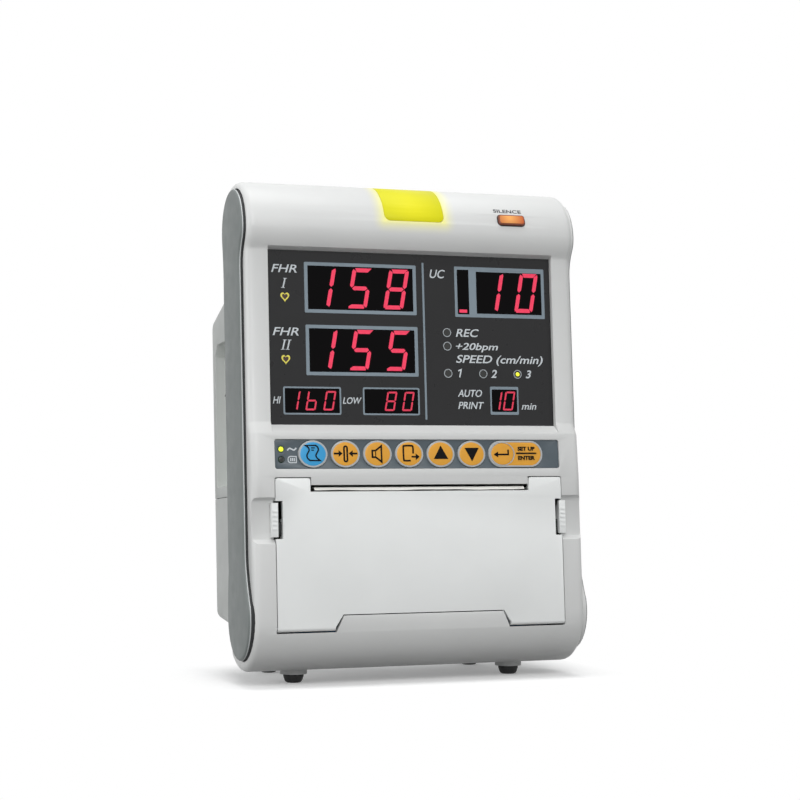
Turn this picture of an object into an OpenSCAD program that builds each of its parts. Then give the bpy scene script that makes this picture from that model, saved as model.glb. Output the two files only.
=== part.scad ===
// Cardiotocograph: a desk-top fetal monitor with a built-in strip printer.
// Millimetres. X is the width, Y runs to the back, Z is up.
// The whole device leans back on its feet. The pieces are drawn upright, with the
// door's face on the plane y = 0, and the module stand() leans them back.

/* [Case] */
// Width of the front case without the side trims
case_w = 172; // [168:1:180]
// Depth of the front case, from the door's face to the parting plane
case_depth = 39.4; // [38.6:0.2:42]
// Wall thickness of the housings
wall = 2.5; // [2:0.1:2.8]
// Rounding of the case's side edges
edge_r = 3.5; // [2:0.5:4]
// Angle by which the device leans back
recline = 4; // [0:0.5:6]
// Width of the rim beside the window and the door
side_rim = 11; // [9.5:0.5:12]
// Radius of the bulge along the top
top_r = 24.5; // [23.5:0.5:25.5]
// Radius of the bulge along the bottom
low_r = 24.7; // [23.7:0.5:25.7]
// Depth at which the rim beside the window lies behind the door's face
neck_y = 4.4; // [4:0.2:5]

/* [Window and keys] */
// Height of the display window
window_h = 85; // [80:1:92]
// Depth of the window's face behind the door's face
window_y = 7; // [6.8:0.1:7.6]
// Thickness of the window
window_t = 2; // [1.5:0.1:2.2]
// Height of the key strip
strip_h = 14.4; // [14:0.2:16]
// Distance between key centres
key_pitch = 16.46; // [16:0.1:16.8]
// Width of a round key
key_w = 14.7; // [13:0.1:15]
// Height of a key
key_h = 13.2; // [12:0.1:13.4]
// Travel of a key
key_travel = 0.6; // [0.3:0.1:0.7]
// Gap around keys and buttons
key_gap = 0.25; // [0.2:0.05:0.35]

/* [Door and printer] */
// Height of the printer door, from its lower edge to its ears
door_h = 73; // [72:0.5:76]
// Thickness of the door's skin
door_t = 2.5; // [2:0.1:2.8]
// Gap around the door
door_gap = 0.45; // [0.3:0.05:0.6]
// Radius of the door's rolled hinge edge
hinge_r = 1.7; // [1.6:0.1:2]
// Radius of the hinge pins
pin_r = 0.8; // [0.6:0.1:0.9]
// Running clearance of shafts in their holes
run = 0.06; // [0.03:0.01:0.09]
// Travel of a door latch
latch_travel = 2; // [1.5:0.1:2]
// Width of the recording paper
paper_w = 110; // [106:1:112]
// Radius of the full paper roll
roll_r = 19; // [15:0.5:19.4]
// Radius of the rubber platen roller
platen_r = 6; // [5.8:0.1:6.2]
// Radius of the platen's shaft
shaft_r = 2.5; // [2:0.1:2.8]
// Size of the gear teeth
gear_m = 0.8; // [0.75:0.01:0.82]
// Teeth on the platen gear
platen_teeth = 16; // [16:1:16]
// Teeth on the idler gear
idler_teeth = 30; // [28:2:32]
// Teeth on the motor pinion
pinion_teeth = 12; // [12:2:14]

/* [Rear housing] */
// Width of the rear housing
rear_w = 164; // [158:1:166]
// Depth of the device, from the door's face to the rear wall
rear_depth = 85; // [83:0.5:90]
// Height of the seam between the two rear covers
seam_z = 94.4; // [92:0.2:97]
// Length of a mating plug that a transducer socket takes
socket_depth = 9; // [8:0.5:10]
// Radius of a transducer socket's bore
socket_r = 4.2; // [3.8:0.1:4.4]

/* [Feet] */
// Height of the case above the table at its lowest point
foot_h = 6.7; // [6:0.1:8]
// Height of the rubber feet
rubber_h = 4.3; // [3.5:0.1:4.6]
// Radius of the rubber feet
rubber_r = 5.4; // [5:0.1:5.8]
// Distance of the feet from the middle
foot_x = 57.2; // [54:0.5:60]

/* [Hidden] */
$fn = 48;
half_w = case_w / 2;
face_half = half_w - side_rim;
trim_t = 2.4;
groove = 0.5;

// Heights along the leaning front
low_y = low_r;
low_z = low_r + 8.5;
door_z0 = low_z - 5.8;
door_z1 = door_z0 + door_h;
strip_z0 = door_z1 + 4.4;
strip_z1 = strip_z0 + strip_h;
step_z0 = strip_z1 + 3.1;
step_y = 1.1;
window_z0 = step_z0 + 4.4;
window_z1 = window_z0 + window_h;
top_y = top_r + 0.1;
top_z = window_z1 + 11.1;
chin_r = 16;
chin_blend = 3;

// Key strip
key_tilt = atan2(step_y, step_z0 - door_z1);
strip_sink = 0.65;
strip_t = 0.6;
key_zc = strip_h / 2;
key_x0 = -55.3;
key_count = 7;
enter_w = 29.2;
stem_r = 3.6;
flange_y = wall + 0.35;
flange_t = 0.6;
stem_y = flange_y + flange_t + 1;
switch_y = stem_y + key_travel + 0.1;
switch_t = 2;
board_t = 1.6;

// Door, hinge and latches
door_half = face_half - door_gap;
hinge_y = hinge_r;
hinge_z = door_z0 + hinge_r;
roll_out = 45.7;
lip_half = 41.8;
lip_top = door_z0 + 7.6;
lip_gap = 0.9;
slot_half = 56.6;
slot_top = door_z1 - 3.3;
door_mid_top = door_z1 - 6.5;
latch_z0 = door_z0 + 45;
latch_h = 16.3;
latch_in = door_half - 1.1;
latch_out = door_half + 2.2;
latch_gap = latch_travel + 0.3;
ear_r = 1.3;
pin_len = 9;

// Printer
platen_y = platen_r + 4.5;
platen_z = door_z0 + 61.1;
platen_half = paper_w / 2 + 1;
cheek_x = platen_half + 1.2;
cheek_t = 3.4;
frame_x = cheek_x + cheek_t + 0.4;
sheet_t = 1.2;
gear_x = frame_x + sheet_t + 0.6;
gear_w = 4;
mesh = 0.05;
platen_gr = gear_m * platen_teeth / 2;
idler_gr = gear_m * idler_teeth / 2;
pinion_gr = gear_m * pinion_teeth / 2;
hinge_dy = platen_y - hinge_y;
hinge_dz = platen_z - hinge_z;
hinge_arm = norm([hinge_dy, hinge_dz]);
idler_d = platen_gr + idler_gr + mesh;
idler_y = platen_y + idler_d * hinge_dz / hinge_arm;
idler_z = platen_z - idler_d * hinge_dy / hinge_arm;
pinion_a = -90;
pinion_d = idler_gr + pinion_gr + mesh;
pinion_y = idler_y + pinion_d * cos(pinion_a);
pinion_z = idler_z + pinion_d * sin(pinion_a);
motor_r = 13.5;
motor_x = gear_x + gear_w + 1 + sheet_t;
motor_gap = 2.5;
motor_t = half_w - wall - motor_gap - motor_x;
roll_y = 33.5;
roll_z = platen_z - 32.5;
spindle_r = 5.6;
trunnion_r = 3;
tray_r = 20.5;
tray_t = 1.5;
head_y = platen_y + platen_r + 0.4;
head_z0 = platen_z - 7.5;
head_h = 15.5;
head_t = 7;
head_pin_y = head_y + 3.6;
head_pin_z = platen_z - 10.5;
bar_y = head_y + head_t + 6;
frame_low = roll_z - tray_r - tray_t;
frame_post_x = frame_x + 8;
frame_post_y = [18, 34];

// Rear housing
rear_half = rear_w / 2;
neck_back = case_depth + 6;
roof_z0 = top_z - 23;
roof_z1 = top_z - 36;
floor_z0 = low_z - 6.3;
floor_z1 = low_z + 0.2;
back_y = case_depth + 0.2;
cover_half = half_w - 1.2;
recess_y0 = case_depth + 4.6;
recess_y1 = rear_depth - 8;
recess_z0 = seam_z + 5.6;
recess_z1 = recess_z0 + 73;
recess_d = 5;
recess_x = rear_half - recess_d;
socket_y = (recess_y0 + recess_y1) / 2;
socket_z = [for (i = [0 : 2]) recess_z0 + 16 + 21 * i];
leg_y = rear_depth - 6;
leg_x = foot_x - 1.7;
case_screw_z = [low_z - 14.7, top_z - 17.3];
case_screw_x = half_w - 6.6;
screw_seat = case_depth + 3;

// The device's place on the table
foot_y = low_y + 7.9;
low_cy = low_y * cos(recline) + low_z * sin(recline);
front_y = low_cy - low_r;
back_max = rear_depth * cos(recline) + (roof_z1 - 6) * sin(recline);
origin_y = -(front_y + back_max) / 2;
origin_z = foot_h + low_r - (low_z * cos(recline) - low_y * sin(recline));

// Colours
WHITE = [0.85, 0.86, 0.86];
DOOR = [0.84, 0.85, 0.84];
TRIM = [0.42, 0.44, 0.44];
GREY = [0.64, 0.65, 0.64];
DARK = [0.13, 0.13, 0.14];
STRIP = [0.32, 0.36, 0.39];
ORANGE = [0.86, 0.6, 0.16];
BLUE = [0.15, 0.55, 0.78];
STEEL = [0.72, 0.73, 0.75];
BOARD = [0.1, 0.35, 0.2];
PAPER = [0.96, 0.96, 0.95];
PLASTIC = [0.9, 0.89, 0.85];

// Leans what is drawn upright back onto the feet
module stand() {
    translate([0, origin_y, origin_z]) rotate([-recline, 0, 0]) children();
}

// Turns a drawing in (y, z) into a prism from x0 to x1
module along_x(x0, x1) {
    translate([x0, 0, 0]) rotate([90, 0, 90]) linear_extrude(x1 - x0) children();
}

// Turns a drawing in (x, z) into a prism from y0 to y1
module along_y(y0, y1) {
    translate([0, y1, 0]) rotate([90, 0, 0]) linear_extrude(y1 - y0) children();
}

// A rod along X through (y, z)
module rod(x0, x1, r, y, z) {
    translate([x0, y, z]) rotate([0, 90, 0]) cylinder(r = r, h = x1 - x0);
}

// A rod along Y through (x, z)
module rod_y(y0, y1, r, x, z) {
    translate([x, y1, z]) rotate([90, 0, 0]) cylinder(r = r, h = y1 - y0);
}

module block(x0, x1, y0, y1, z0, z1) {
    translate([x0, y0, z0]) cube([x1 - x0, y1 - y0, z1 - z0]);
}

// The same thing on both sides of the middle
module both_sides() {
    children();
    mirror([1, 0, 0]) children();
}

function arc(cy, cz, r, a0, a1, n) =
    [for (i = [0 : n]) let (a = a0 + (a1 - a0) * i / n) [cy + r * cos(a), cz + r * sin(a)]];

function oval(cy, cz, ry, rz, a0, a1, n) =
    [for (i = [0 : n]) let (a = a0 + (a1 - a0) * i / n) [cy + ry * cos(a), cz + rz * sin(a)]];

// A smooth bend from p to q, pulled towards c, without its first point
function bend(p, c, q, n) =
    [for (i = [1 : n]) let (t = i / n) (1 - t) * (1 - t) * p + 2 * t * (1 - t) * c + t * t * q];

function unit(v) = v / norm(v);

// A corner between two points, rounded off over a length r
function rounded_corner(a, c, b, r) =
    let (p = c + r * unit(a - c)) concat([p], bend(p, c, c + r * unit(b - c), 3));
function side_of(p, q) = let (t = unit(q - p)) [t[1], -t[0]];

// The outline moved inwards by d, with mitred corners
function inset(pts, d) = [for (i = [0 : len(pts) - 1])
    let (n = len(pts),
        a = side_of(pts[(i + n - 1) % n], pts[i]),
        b = side_of(pts[i], pts[(i + 1) % n]))
    pts[i] - d * (a + b) / (1 + a * b)];

// The outline, started at its highest point
function from_top(pts) = let (n = len(pts), top = max([for (p = pts) p[1]]),
        k = [for (i = [0 : n - 1]) if (pts[i][1] == top) i][0])
    [for (i = [0 : n - 1]) pts[(i + k) % n]];

// Triangles that fill an outline, laid like the rungs of a ladder from its top to its bottom
function rungs(pts, i, j) =
    j - i < 2 ? []
    : pts[i + 1][1] > pts[j - 1][1] ? concat([[i, i + 1, j]], rungs(pts, i + 1, j))
    : concat([[i, j - 1, j]], rungs(pts, i, j - 1));

// A solid along X whose outline is moved inwards at each station [x, inset]
module loft_x(outline, stations) {
    pts = from_top(outline);
    n = len(pts);
    ends = len(stations) - 1;
    last = ends * n;
    points = [for (s = stations) for (p = inset(pts, s[1])) [s[0], p[0], p[1]]];
    sides = [for (j = [0 : len(stations) - 2]) for (i = [0 : n - 1])
        let (k = (i + 1) % n) [j * n + i, (j + 1) * n + i, (j + 1) * n + k, j * n + k]];
    low_cap = rungs(inset(pts, stations[0][1]), 0, n - 1);
    high_cap = [for (t = rungs(inset(pts, stations[ends][1]), 0, n - 1))
        [last + t[2], last + t[1], last + t[0]]];
    polyhedron(points = points, faces = concat(low_cap, sides, high_cap));
}

function round_end(x, r, dir, n) =
    [for (i = [0 : n]) let (a = 90 * i / n) [x - dir * r * (1 - cos(a)), r * (1 - sin(a))]];

function reversed(v) = [for (i = [len(v) - 1 : -1 : 0]) v[i]];

// A bar along X with both ends rounded over by r
module rounded_bar(pts, half, r, n = 5) {
    loft_x(pts, concat(round_end(-half, r, -1, n), reversed(round_end(half, r, 1, n))));
}

// The front case seen from its side, closed behind the parting plane
cut_over = 5;
top_a = acos((case_depth + cut_over - top_y) / top_r);
low_a = acos((case_depth + cut_over - low_y) / low_r);
chin_y = top_y - top_r + chin_r;
blend_y = neck_y - chin_blend;
blend_drop = sqrt(pow(chin_r + chin_blend, 2) - pow(chin_y - blend_y, 2));
chin_a = atan2(blend_drop, chin_y - blend_y);
front_outline = concat(
    arc(top_y, top_z, top_r, top_a, 180, 18),
    arc(chin_y, top_z, chin_r, 185, 180 + chin_a, 5),
    [for (p = arc(blend_y, top_z - blend_drop, chin_blend, chin_a - 12, 0, 2)) p],
    [[neck_y, step_z0 + 5.9], [neck_y - 0.3, step_z0 + 5],
        [step_y + 0.3, step_z0 + 0.5], [step_y, step_z0 - 0.4], [0, door_z1 + 0.4]],
    arc(low_y, low_z, low_r, 180, 360 - low_a, 18),
    [[case_depth + cut_over, window_z0]]);

// The side trim's outline: a narrow waist between two rounded ends
trim_top_y = 21.1;
trim_low_y = 20.3;
trim_rear = 17.4;
waist_y = 10;
waist_rear = case_depth - 2.8;
trim_outline = concat(
    oval(trim_top_y, top_z, trim_rear, top_r - 4.3, 0, 180, 18),
    arc(trim_top_y - trim_rear + 12, top_z, 12, 190, 215, 3),
    bend([trim_top_y - trim_rear + 2.2, top_z - 6.9], [waist_y, top_z - 12.8],
        [waist_y, top_z - 19], 4),
    [[waist_y - 0.6, low_z + 31]],
    bend([waist_y - 0.6, low_z + 31], [waist_y - 0.7, low_z + 23],
        [3.6, low_z + 8.5], 5),
    oval(trim_low_y, low_z + 1, trim_rear + 1, low_r - 4.5, 164, 360, 18),
    bend([trim_low_y + trim_rear + 1, low_z + 1], [trim_low_y + trim_rear + 0.8, low_z + 14],
        [waist_rear - 0.2, low_z + 24], 4),
    [[waist_rear, low_z + 31], [waist_rear + 0.3, top_z - 20]],
    bend([waist_rear + 0.3, top_z - 20], [waist_rear + 0.6, top_z - 10],
        [trim_top_y + trim_rear - 0.05, top_z - 3], 3));

// Where the keys sit: the origin is on the case's surface at the strip's lower edge
module on_strip() {
    translate([0, step_y * (strip_z0 - door_z1) / (step_z0 - door_z1), strip_z0])
        rotate([-key_tilt, 0, 0]) children();
}

// A frame whose -Y points out of the top bulge, up degrees above the horizontal
module on_bulge(up) {
    translate([0, top_y, top_z]) rotate([-up, 0, 0]) children();
}

module round_rect(x0, x1, z0, z1, r) {
    translate([x0 + r, z0]) square([x1 - x0 - 2 * r, z1 - z0]);
    translate([x0, z0 + r]) square([x1 - x0, z1 - z0 - 2 * r]);
    for (x = [x0 + r, x1 - r], z = [z0 + r, z1 - r]) translate([x, z]) circle(r);
}

// A ring segment of the top bulge between two angles above the horizontal
module bulge_band(r0, r1, x0, x1, a0, a1) {
    translate([x0, top_y, top_z]) rotate([-a0, 0, 0]) mirror([0, 1, 0]) rotate([90, 0, 90])
        rotate_extrude(angle = a1 - a0, $fn = 96)
            translate([r0, 0]) square([r1 - r0, x1 - x0]);
}

lens_half = 15.6;
lens_a0 = 10.6;
lens_a1 = 104;
lens_gap = 0.2;
lens_corner = 3;
lens_z0 = top_z + top_r * sin(lens_a0);
silence_x = 52.2;
silence_w = 14.2;
silence_h = 5.4;
silence_up = 16.5;
silence_travel = 0.9;

// The lens's outline seen from the front, with its round lower corners
module lens_outline(grow) {
    along_y(-10, 2 * top_r) round_rect(-lens_half - grow, lens_half + grow, lens_z0 - grow,
        top_z + 2 * top_r, lens_corner + grow);
}

// The opening that the door closes, with the lips above the slot and at the bottom
module door_opening() {
    difference() {
        both_sides() polygon(concat([[0, door_z0 - 0.7], [face_half, door_z0 - 0.7]],
            rounded_corner([face_half, door_z0], [face_half, door_z1 + door_gap],
                [0, door_z1 + door_gap], ear_r), [[0, door_z1 + door_gap]]));
        translate([-slot_half, slot_top]) square([2 * slot_half, 10]);
        polygon([[-roll_out + lip_gap, 0], [-roll_out + lip_gap, door_z0],
            [-lip_half + lip_gap / 2, lip_top - door_gap],
            [lip_half - lip_gap / 2, lip_top - door_gap], [roll_out - lip_gap, door_z0],
            [roll_out - lip_gap, 0]]);
    }
}

// A finger's hollow beside a latch
module finger_hollow() {
    along_x(face_half - 0.1, half_w + 1)
        polygon([[-2, latch_z0 - 4.6], [0.4, latch_z0 - 2.9], [2.8, latch_z0 - 0.9],
            [3, latch_z0 + 2.2], [3, latch_z0 + latch_h - 0.8], [2.4, latch_z0 + latch_h + 1],
            [1, latch_z0 + latch_h + 2.2], [-2, latch_z0 + latch_h + 3.4]]);
}

module enter_outline(grow) {
    r = key_h / 2 + grow;
    translate([-key_w / 2 - grow + r, 0]) circle(r);
    translate([enter_w - key_w / 2 + grow - r, 0]) circle(r);
    translate([-key_w / 2 - grow + r, -r]) square([enter_w + 2 * grow - 2 * r, 2 * r]);
}

module key_outline(i, grow) {
    translate([key_x0 + key_pitch * i, key_zc])
        if (i == key_count - 1) enter_outline(grow);
        else polygon(oval(0, 0, key_w / 2 + grow, key_h / 2 + grow, 7.5, 352.5, 23));
}

module foot_boss(x, y, z_top) {
    translate([x, y, rubber_h]) cylinder(r = rubber_r + 1.25, h = z_top - rubber_h);
}

module to_table() {
    translate([0, origin_y, 0]) children();
}

// The feet's places on the table, worked out from the leaning case
front_foot_y = foot_y * cos(recline) + (low_z - low_r) * sin(recline);
rear_foot_y = leg_y * cos(recline) + floor_z1 * sin(recline);
rear_foot_z = floor_z1 * cos(recline) - leg_y * sin(recline) + origin_z;

module key_posts() {
    for (x = [-68, -14, 35.3, 72], z = [0.3, strip_h - 0.3])
        rod_y(wall - 0.2, switch_y + switch_t, 1, x, z);
}

post_y = window_y + window_t + 0.3;
module_t = 6.7;
board_y = post_y + module_t;
post_x = half_w - wall - 3;
post_z = [window_z0 + 8, (window_z0 + window_z1) / 2, window_z1 - 8];

// What stands inside the front case: bosses, posts and the lamp's ribs
module case_bosses() {
    both_sides() {
        along_x(lens_half + 4, lens_half + 5.6) translate([14, top_z + 3]) square([20, 30]);
        block(face_half + 0.1, half_w, 0, 5, latch_z0 - 7, latch_z0 + latch_h + 6);
        for (z = case_screw_z) rod_y(case_depth - 14, case_depth, 4.2, case_screw_x, z);
        for (y = frame_post_y) translate([frame_post_x, y, 0])
            cylinder(r = 3.5, h = frame_low - sheet_t);
        block(face_half + 0.1, face_half + 4.6, 0.8, hinge_y + 3, hinge_z - 3.4, hinge_z + 3.6);
        for (z = post_z) rod_y(window_y - 0.1, board_y, 2.6, post_x, z);
    }
    on_strip() key_posts();
}

// The front case before it is hollowed
module case_blank() {
    difference() {
        rounded_bar(front_outline, half_w, edge_r);
        block(-half_w - 1, half_w + 1, case_depth, case_depth + 20, 0, top_z + 40);
    }
}

module front_shell() {
    color(WHITE) {
        stand() difference() {
            case_blank();
            difference() {
                along_x(-half_w + wall, half_w - wall) polygon(inset(front_outline, wall));
                block(-half_w, half_w, -5, window_y, step_z0, window_z1 + 3.5);
                case_bosses();
            }
            along_x(-face_half, face_half)
                polygon([[-6, step_z0], [step_y - 0.1, step_z0], [window_y + 0.2, window_z0],
                    [window_y + 0.2, window_z1], [-6, window_z1 + 5]]);
            along_y(-6, 6) door_opening();
            both_sides() {
                finger_hollow();
                rod(face_half, face_half + 5, pin_r, hinge_y, hinge_z);
                rod(roll_out - 0.8, face_half + 0.1, hinge_r + 0.4, hinge_y, hinge_z);
                along_x(half_w - 1.1, half_w + 1) polygon(inset(trim_outline, -groove));
                for (z = post_z) rod_y(board_y - 6, board_y + 1, 1, post_x, z);
                for (z = case_screw_z) rod_y(case_depth - 12, case_depth + 1, 1.4, case_screw_x, z);
                for (y = frame_post_y) translate([frame_post_x, y, frame_low - sheet_t - 8])
                    cylinder(r = 1.2, h = 9);
            }
            on_strip() {
                along_y(-2, strip_sink + strip_t)
                    round_rect(-face_half + 0.5, face_half - 0.5, 0, strip_h, 1.2);
                for (i = [0 : key_count - 1]) along_y(0, wall + 1) key_outline(i, key_gap);
                for (z = led_rows) rod_y(0, wall + 1, 1.7, led_x, z);
            }
            intersection() {
                bulge_band(top_r - wall - 1, top_r + 3, -lens_half - 1, lens_half + 1,
                    lens_a0 - 3, lens_a1 + 0.5);
                lens_outline(lens_gap);
            }
            on_bulge(silence_up) along_y(-top_r - 4, -top_r + wall + 1)
                round_rect(silence_x - silence_w / 2 - key_gap, silence_x + silence_w / 2 + key_gap,
                    -silence_h / 2 - key_gap, silence_h / 2 + key_gap, 1.6);
        }
        to_table() difference() {
            for (x = [-foot_x, foot_x]) foot_boss(x, front_foot_y, foot_h + 2);
            translate([0, -origin_y, 0]) stand()
                rod(-half_w, half_w, low_r - 0.6, low_y, low_z);
        }
    }
}

module side_trim() {
    loft_x(trim_outline, concat([[half_w - 1.1, 0], [half_w + trim_t - 1.3, 0]],
        [for (i = [1 : 4]) let (a = 22.5 * i)
            [half_w + trim_t - 1.3 + 1.3 * sin(a), 1.3 * (1 - cos(a))]]));
}

module left_side_trim() {
    color(TRIM) stand() mirror([1, 0, 0]) side_trim();
}

module right_side_trim() {
    color(TRIM) stand() side_trim();
}

module alarm_lens() {
    color([0.9, 0.92, 0.1]) stand() {
        intersection() {
            bulge_band(top_r - wall - 0.6, top_r, -lens_half, lens_half, lens_a0 - 3, lens_a1);
            lens_outline(0);
        }
        bulge_band(top_r - wall - 1.2, top_r - wall - 0.1, -lens_half - 1.6, lens_half + 1.6,
            lens_a0 - 3, lens_a1 + 3);
    }
}

module alarm_lamp_board() {
    color(BOARD) stand() {
        block(-lens_half - 6, lens_half + 6, 15, 33, top_z + 3 - board_t, top_z + 3);
        for (x = [-9, -3, 3, 9]) translate([x, 22, top_z + 3]) {
            cylinder(r = 2.2, h = 3.2);
            translate([0, 0, 3.2]) sphere(r = 2.2);
        }
    }
}

module display_window() {
    color(DARK) stand() along_y(window_y, window_y + window_t)
        round_rect(-face_half - 2, face_half + 2, window_z0 - 2, window_z1 + 2, 2);
}

module display_board() {
    color(BOARD) stand() difference() {
        along_y(board_y, board_y + board_t)
            round_rect(-post_x - 2.4, post_x + 2.4, window_z0 - 1, window_z1 + 1, 2);
        for (x = [-post_x, post_x], z = post_z) rod_y(board_y - 1, board_y + 4, 1.3, x, z);
    }
}

module board_screws() {
    color(STEEL) stand() {
        for (x = [-post_x, post_x], z = post_z) {
            rod_y(board_y - 5, board_y + board_t, 1, x, z);
            rod_y(board_y + board_t, board_y + board_t + 1.6, 2.2, x, z);
        }
        for (s = [[board_posts, board_post_y], [power_posts, power_post_y]], p = s[0]) {
            rod_y(s[1] - board_t, s[1] + 6, 1, p[0], p[1]);
            rod_y(s[1] - board_t - 1.6, s[1] - board_t, 2.2, p[0], p[1]);
        }
    }
}

// A numeral block with the seven bars of each figure standing on its face
module digit_block(x0, z0, count, pitch, h) {
    translate([x0, 0, z0]) {
        block(-pitch * 0.04, pitch * (count + 0.04), post_y + 0.5, board_y, -h * 0.1, h * 1.1);
        for (i = [0 : count - 1]) translate([pitch * (i + 0.16), 0, 0])
            along_y(post_y, post_y + 0.6) bars(h);
    }
}

// The seven bars of one slanted figure
module bars(h) {
    w = h * 0.56;
    t = h * 0.12;
    g = h * 0.03;
    lean = 0.14;
    for (z = [0, (h - t) / 2, h - t])
        polygon([[t + g + lean * z, z + t / 2], [t + g + lean * z + t / 2, z],
            [w - t - g + lean * z, z], [w - g - t / 2 + lean * z, z + t / 2],
            [w - t - g + lean * z, z + t], [t + g + lean * z + t / 2, z + t]]);
    for (x = [0, w - t], z = [t * 0.7, h / 2 + g])
        polygon([[x + lean * z, z], [x + t + lean * z, z],
            [x + t + lean * (z + h * 0.38), z + h * 0.38], [x + lean * (z + h * 0.38), z + h * 0.38]]);
}

big_digit = 20.3;
small_digit = 9.2;

module large_digit_modules() {
    color([0.08, 0.08, 0.09]) stand() {
        digit_block(-53.5, window_z0 + 57, 3, 18.2, big_digit);
        digit_block(-53.5, window_z0 + 26.6, 3, 18.2, big_digit);
        digit_block(35.2, window_z0 + 57, 2, 17.2, big_digit);
        block(24.6, 30.4, post_y, board_y, window_z0 + 56, window_z0 + 78);
    }
}

module small_digit_modules() {
    color([0.08, 0.08, 0.09]) stand() {
        digit_block(-66.4, window_z0 + 7, 3, 9, small_digit);
        digit_block(-25.4, window_z0 + 7, 3, 9, small_digit);
        digit_block(41, window_z0 + 8, 2, 7.2, small_digit);
    }
}

led_x = -face_half + 3.9;
led_rows = [4.6, 9.6];
led_spots = [[18.2, 46.4], [18.2, 39.6], [18.3, 25.9], [37.2, 25.9], [55.9, 25.9],
    [-65.9, 62], [-66, 31.6]];

module indicator_leds() {
    color([0.8, 0.85, 0.2]) stand() for (p = led_spots)
        rod_y(post_y, board_y, 1.5, p[0], window_z0 + p[1]);
}

module key_overlay() {
    color(STRIP) stand() on_strip() difference() {
        along_y(strip_sink, strip_sink + strip_t)
            round_rect(-face_half + 0.7, face_half - 0.7, 0.2, strip_h - 0.2, 1);
        for (i = [0 : key_count - 1])
            along_y(strip_sink - 1, strip_sink + strip_t + 1) key_outline(i, key_gap);
        for (z = led_rows) rod_y(0, 5, 1.7, led_x, z);
    }
}

module key_board() {
    color(BOARD) stand() on_strip() {
        along_y(switch_y + switch_t, switch_y + switch_t + board_t)
            round_rect(-face_half - 1, face_half + 1, -0.8, strip_h + 0.8, 1);
        for (i = [0 : key_count - 1])
            rod_y(switch_y, switch_y + switch_t, 2.6, key_x0 + key_pitch * i, key_zc);
        for (z = led_rows) rod_y(strip_sink + 0.2, switch_y + switch_t, 1.45, led_x, z);
    }
}

// A key: a raised rim round a sunk face, a flange behind the wall, and a stem
module key(i) {
    stand() on_strip() {
        difference() {
            along_y(strip_sink - 0.75, flange_y + 0.1) key_outline(i, 0);
            along_y(strip_sink - 1, strip_sink - 0.45) key_outline(i, -0.9);
        }
        along_y(flange_y, flange_y + flange_t) key_outline(i, key_gap + 0.3);
        rod_y(flange_y, stem_y, stem_r, key_x0 + key_pitch * i, key_zc);
    }
}

module record_key() { color(BLUE) key(0); }
module zero_key() { color(ORANGE) key(1); }
module volume_key() { color(ORANGE) key(2); }
module feed_key() { color(ORANGE) key(3); }
module up_key() { color(ORANGE) key(4); }
module down_key() { color(ORANGE) key(5); }
module enter_key() { color(ORANGE) key(6); }

module silence_button() {
    color([0.86, 0.47, 0.15]) stand() on_bulge(silence_up) {
        along_y(-top_r - 1, -top_r + wall + 1.2)
            round_rect(silence_x - silence_w / 2, silence_x + silence_w / 2,
                -silence_h / 2, silence_h / 2, 1.4);
        along_y(-top_r - 1.3, -top_r - 0.9)
            round_rect(silence_x - silence_w / 2 + 0.6, silence_x + silence_w / 2 - 0.6,
                -silence_h / 2 + 0.6, silence_h / 2 - 0.6, 1);
        along_y(-top_r + wall + 0.8, -top_r + wall + 1.6)
            round_rect(silence_x - silence_w / 2 - 1, silence_x + silence_w / 2 + 1,
                -silence_h / 2 - 1, silence_h / 2 + 1, 1.4);
        rod_y(-top_r + wall + 1.5, -top_r + wall + 3, 1.6, silence_x, 0);
    }
}

module silence_switch() {
    face = -top_r + wall + 3.1 + silence_travel;
    color(BOARD) stand() on_bulge(silence_up) {
        rod_y(face, face + 3, 2.8, silence_x, 0);
        block(silence_x - 9, half_w - wall, face + 3, face + 3 + board_t, -5, 5);
    }
}

// The right half of the door's outline; the left half mirrors it
module door_skin() {
    inner = slot_half + 0.5;
    half = concat([[0, door_mid_top], [inner, door_mid_top]],
        rounded_corner([inner, door_mid_top], [inner, door_z1], [door_half, door_z1], ear_r),
        rounded_corner([inner, door_z1], [door_half, door_z1], [door_half, latch_z0], ear_r),
        [[door_half, latch_z0 + latch_h + 0.9], [latch_in - latch_gap, latch_z0 + latch_h + 0.9],
            [latch_in - latch_gap, latch_z0 - 0.9], [door_half, latch_z0 - 0.9],
            [door_half, hinge_z], [roll_out, hinge_z], [lip_half, lip_top], [0, lip_top]]);
    polygon(concat(half, [for (i = [len(half) - 2 : -1 : 1]) [-half[i][0], half[i][1]]]));
}

slide_z0 = latch_z0 + 1;
slide_h = 6;
slide_in = frame_x + 2;

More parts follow.
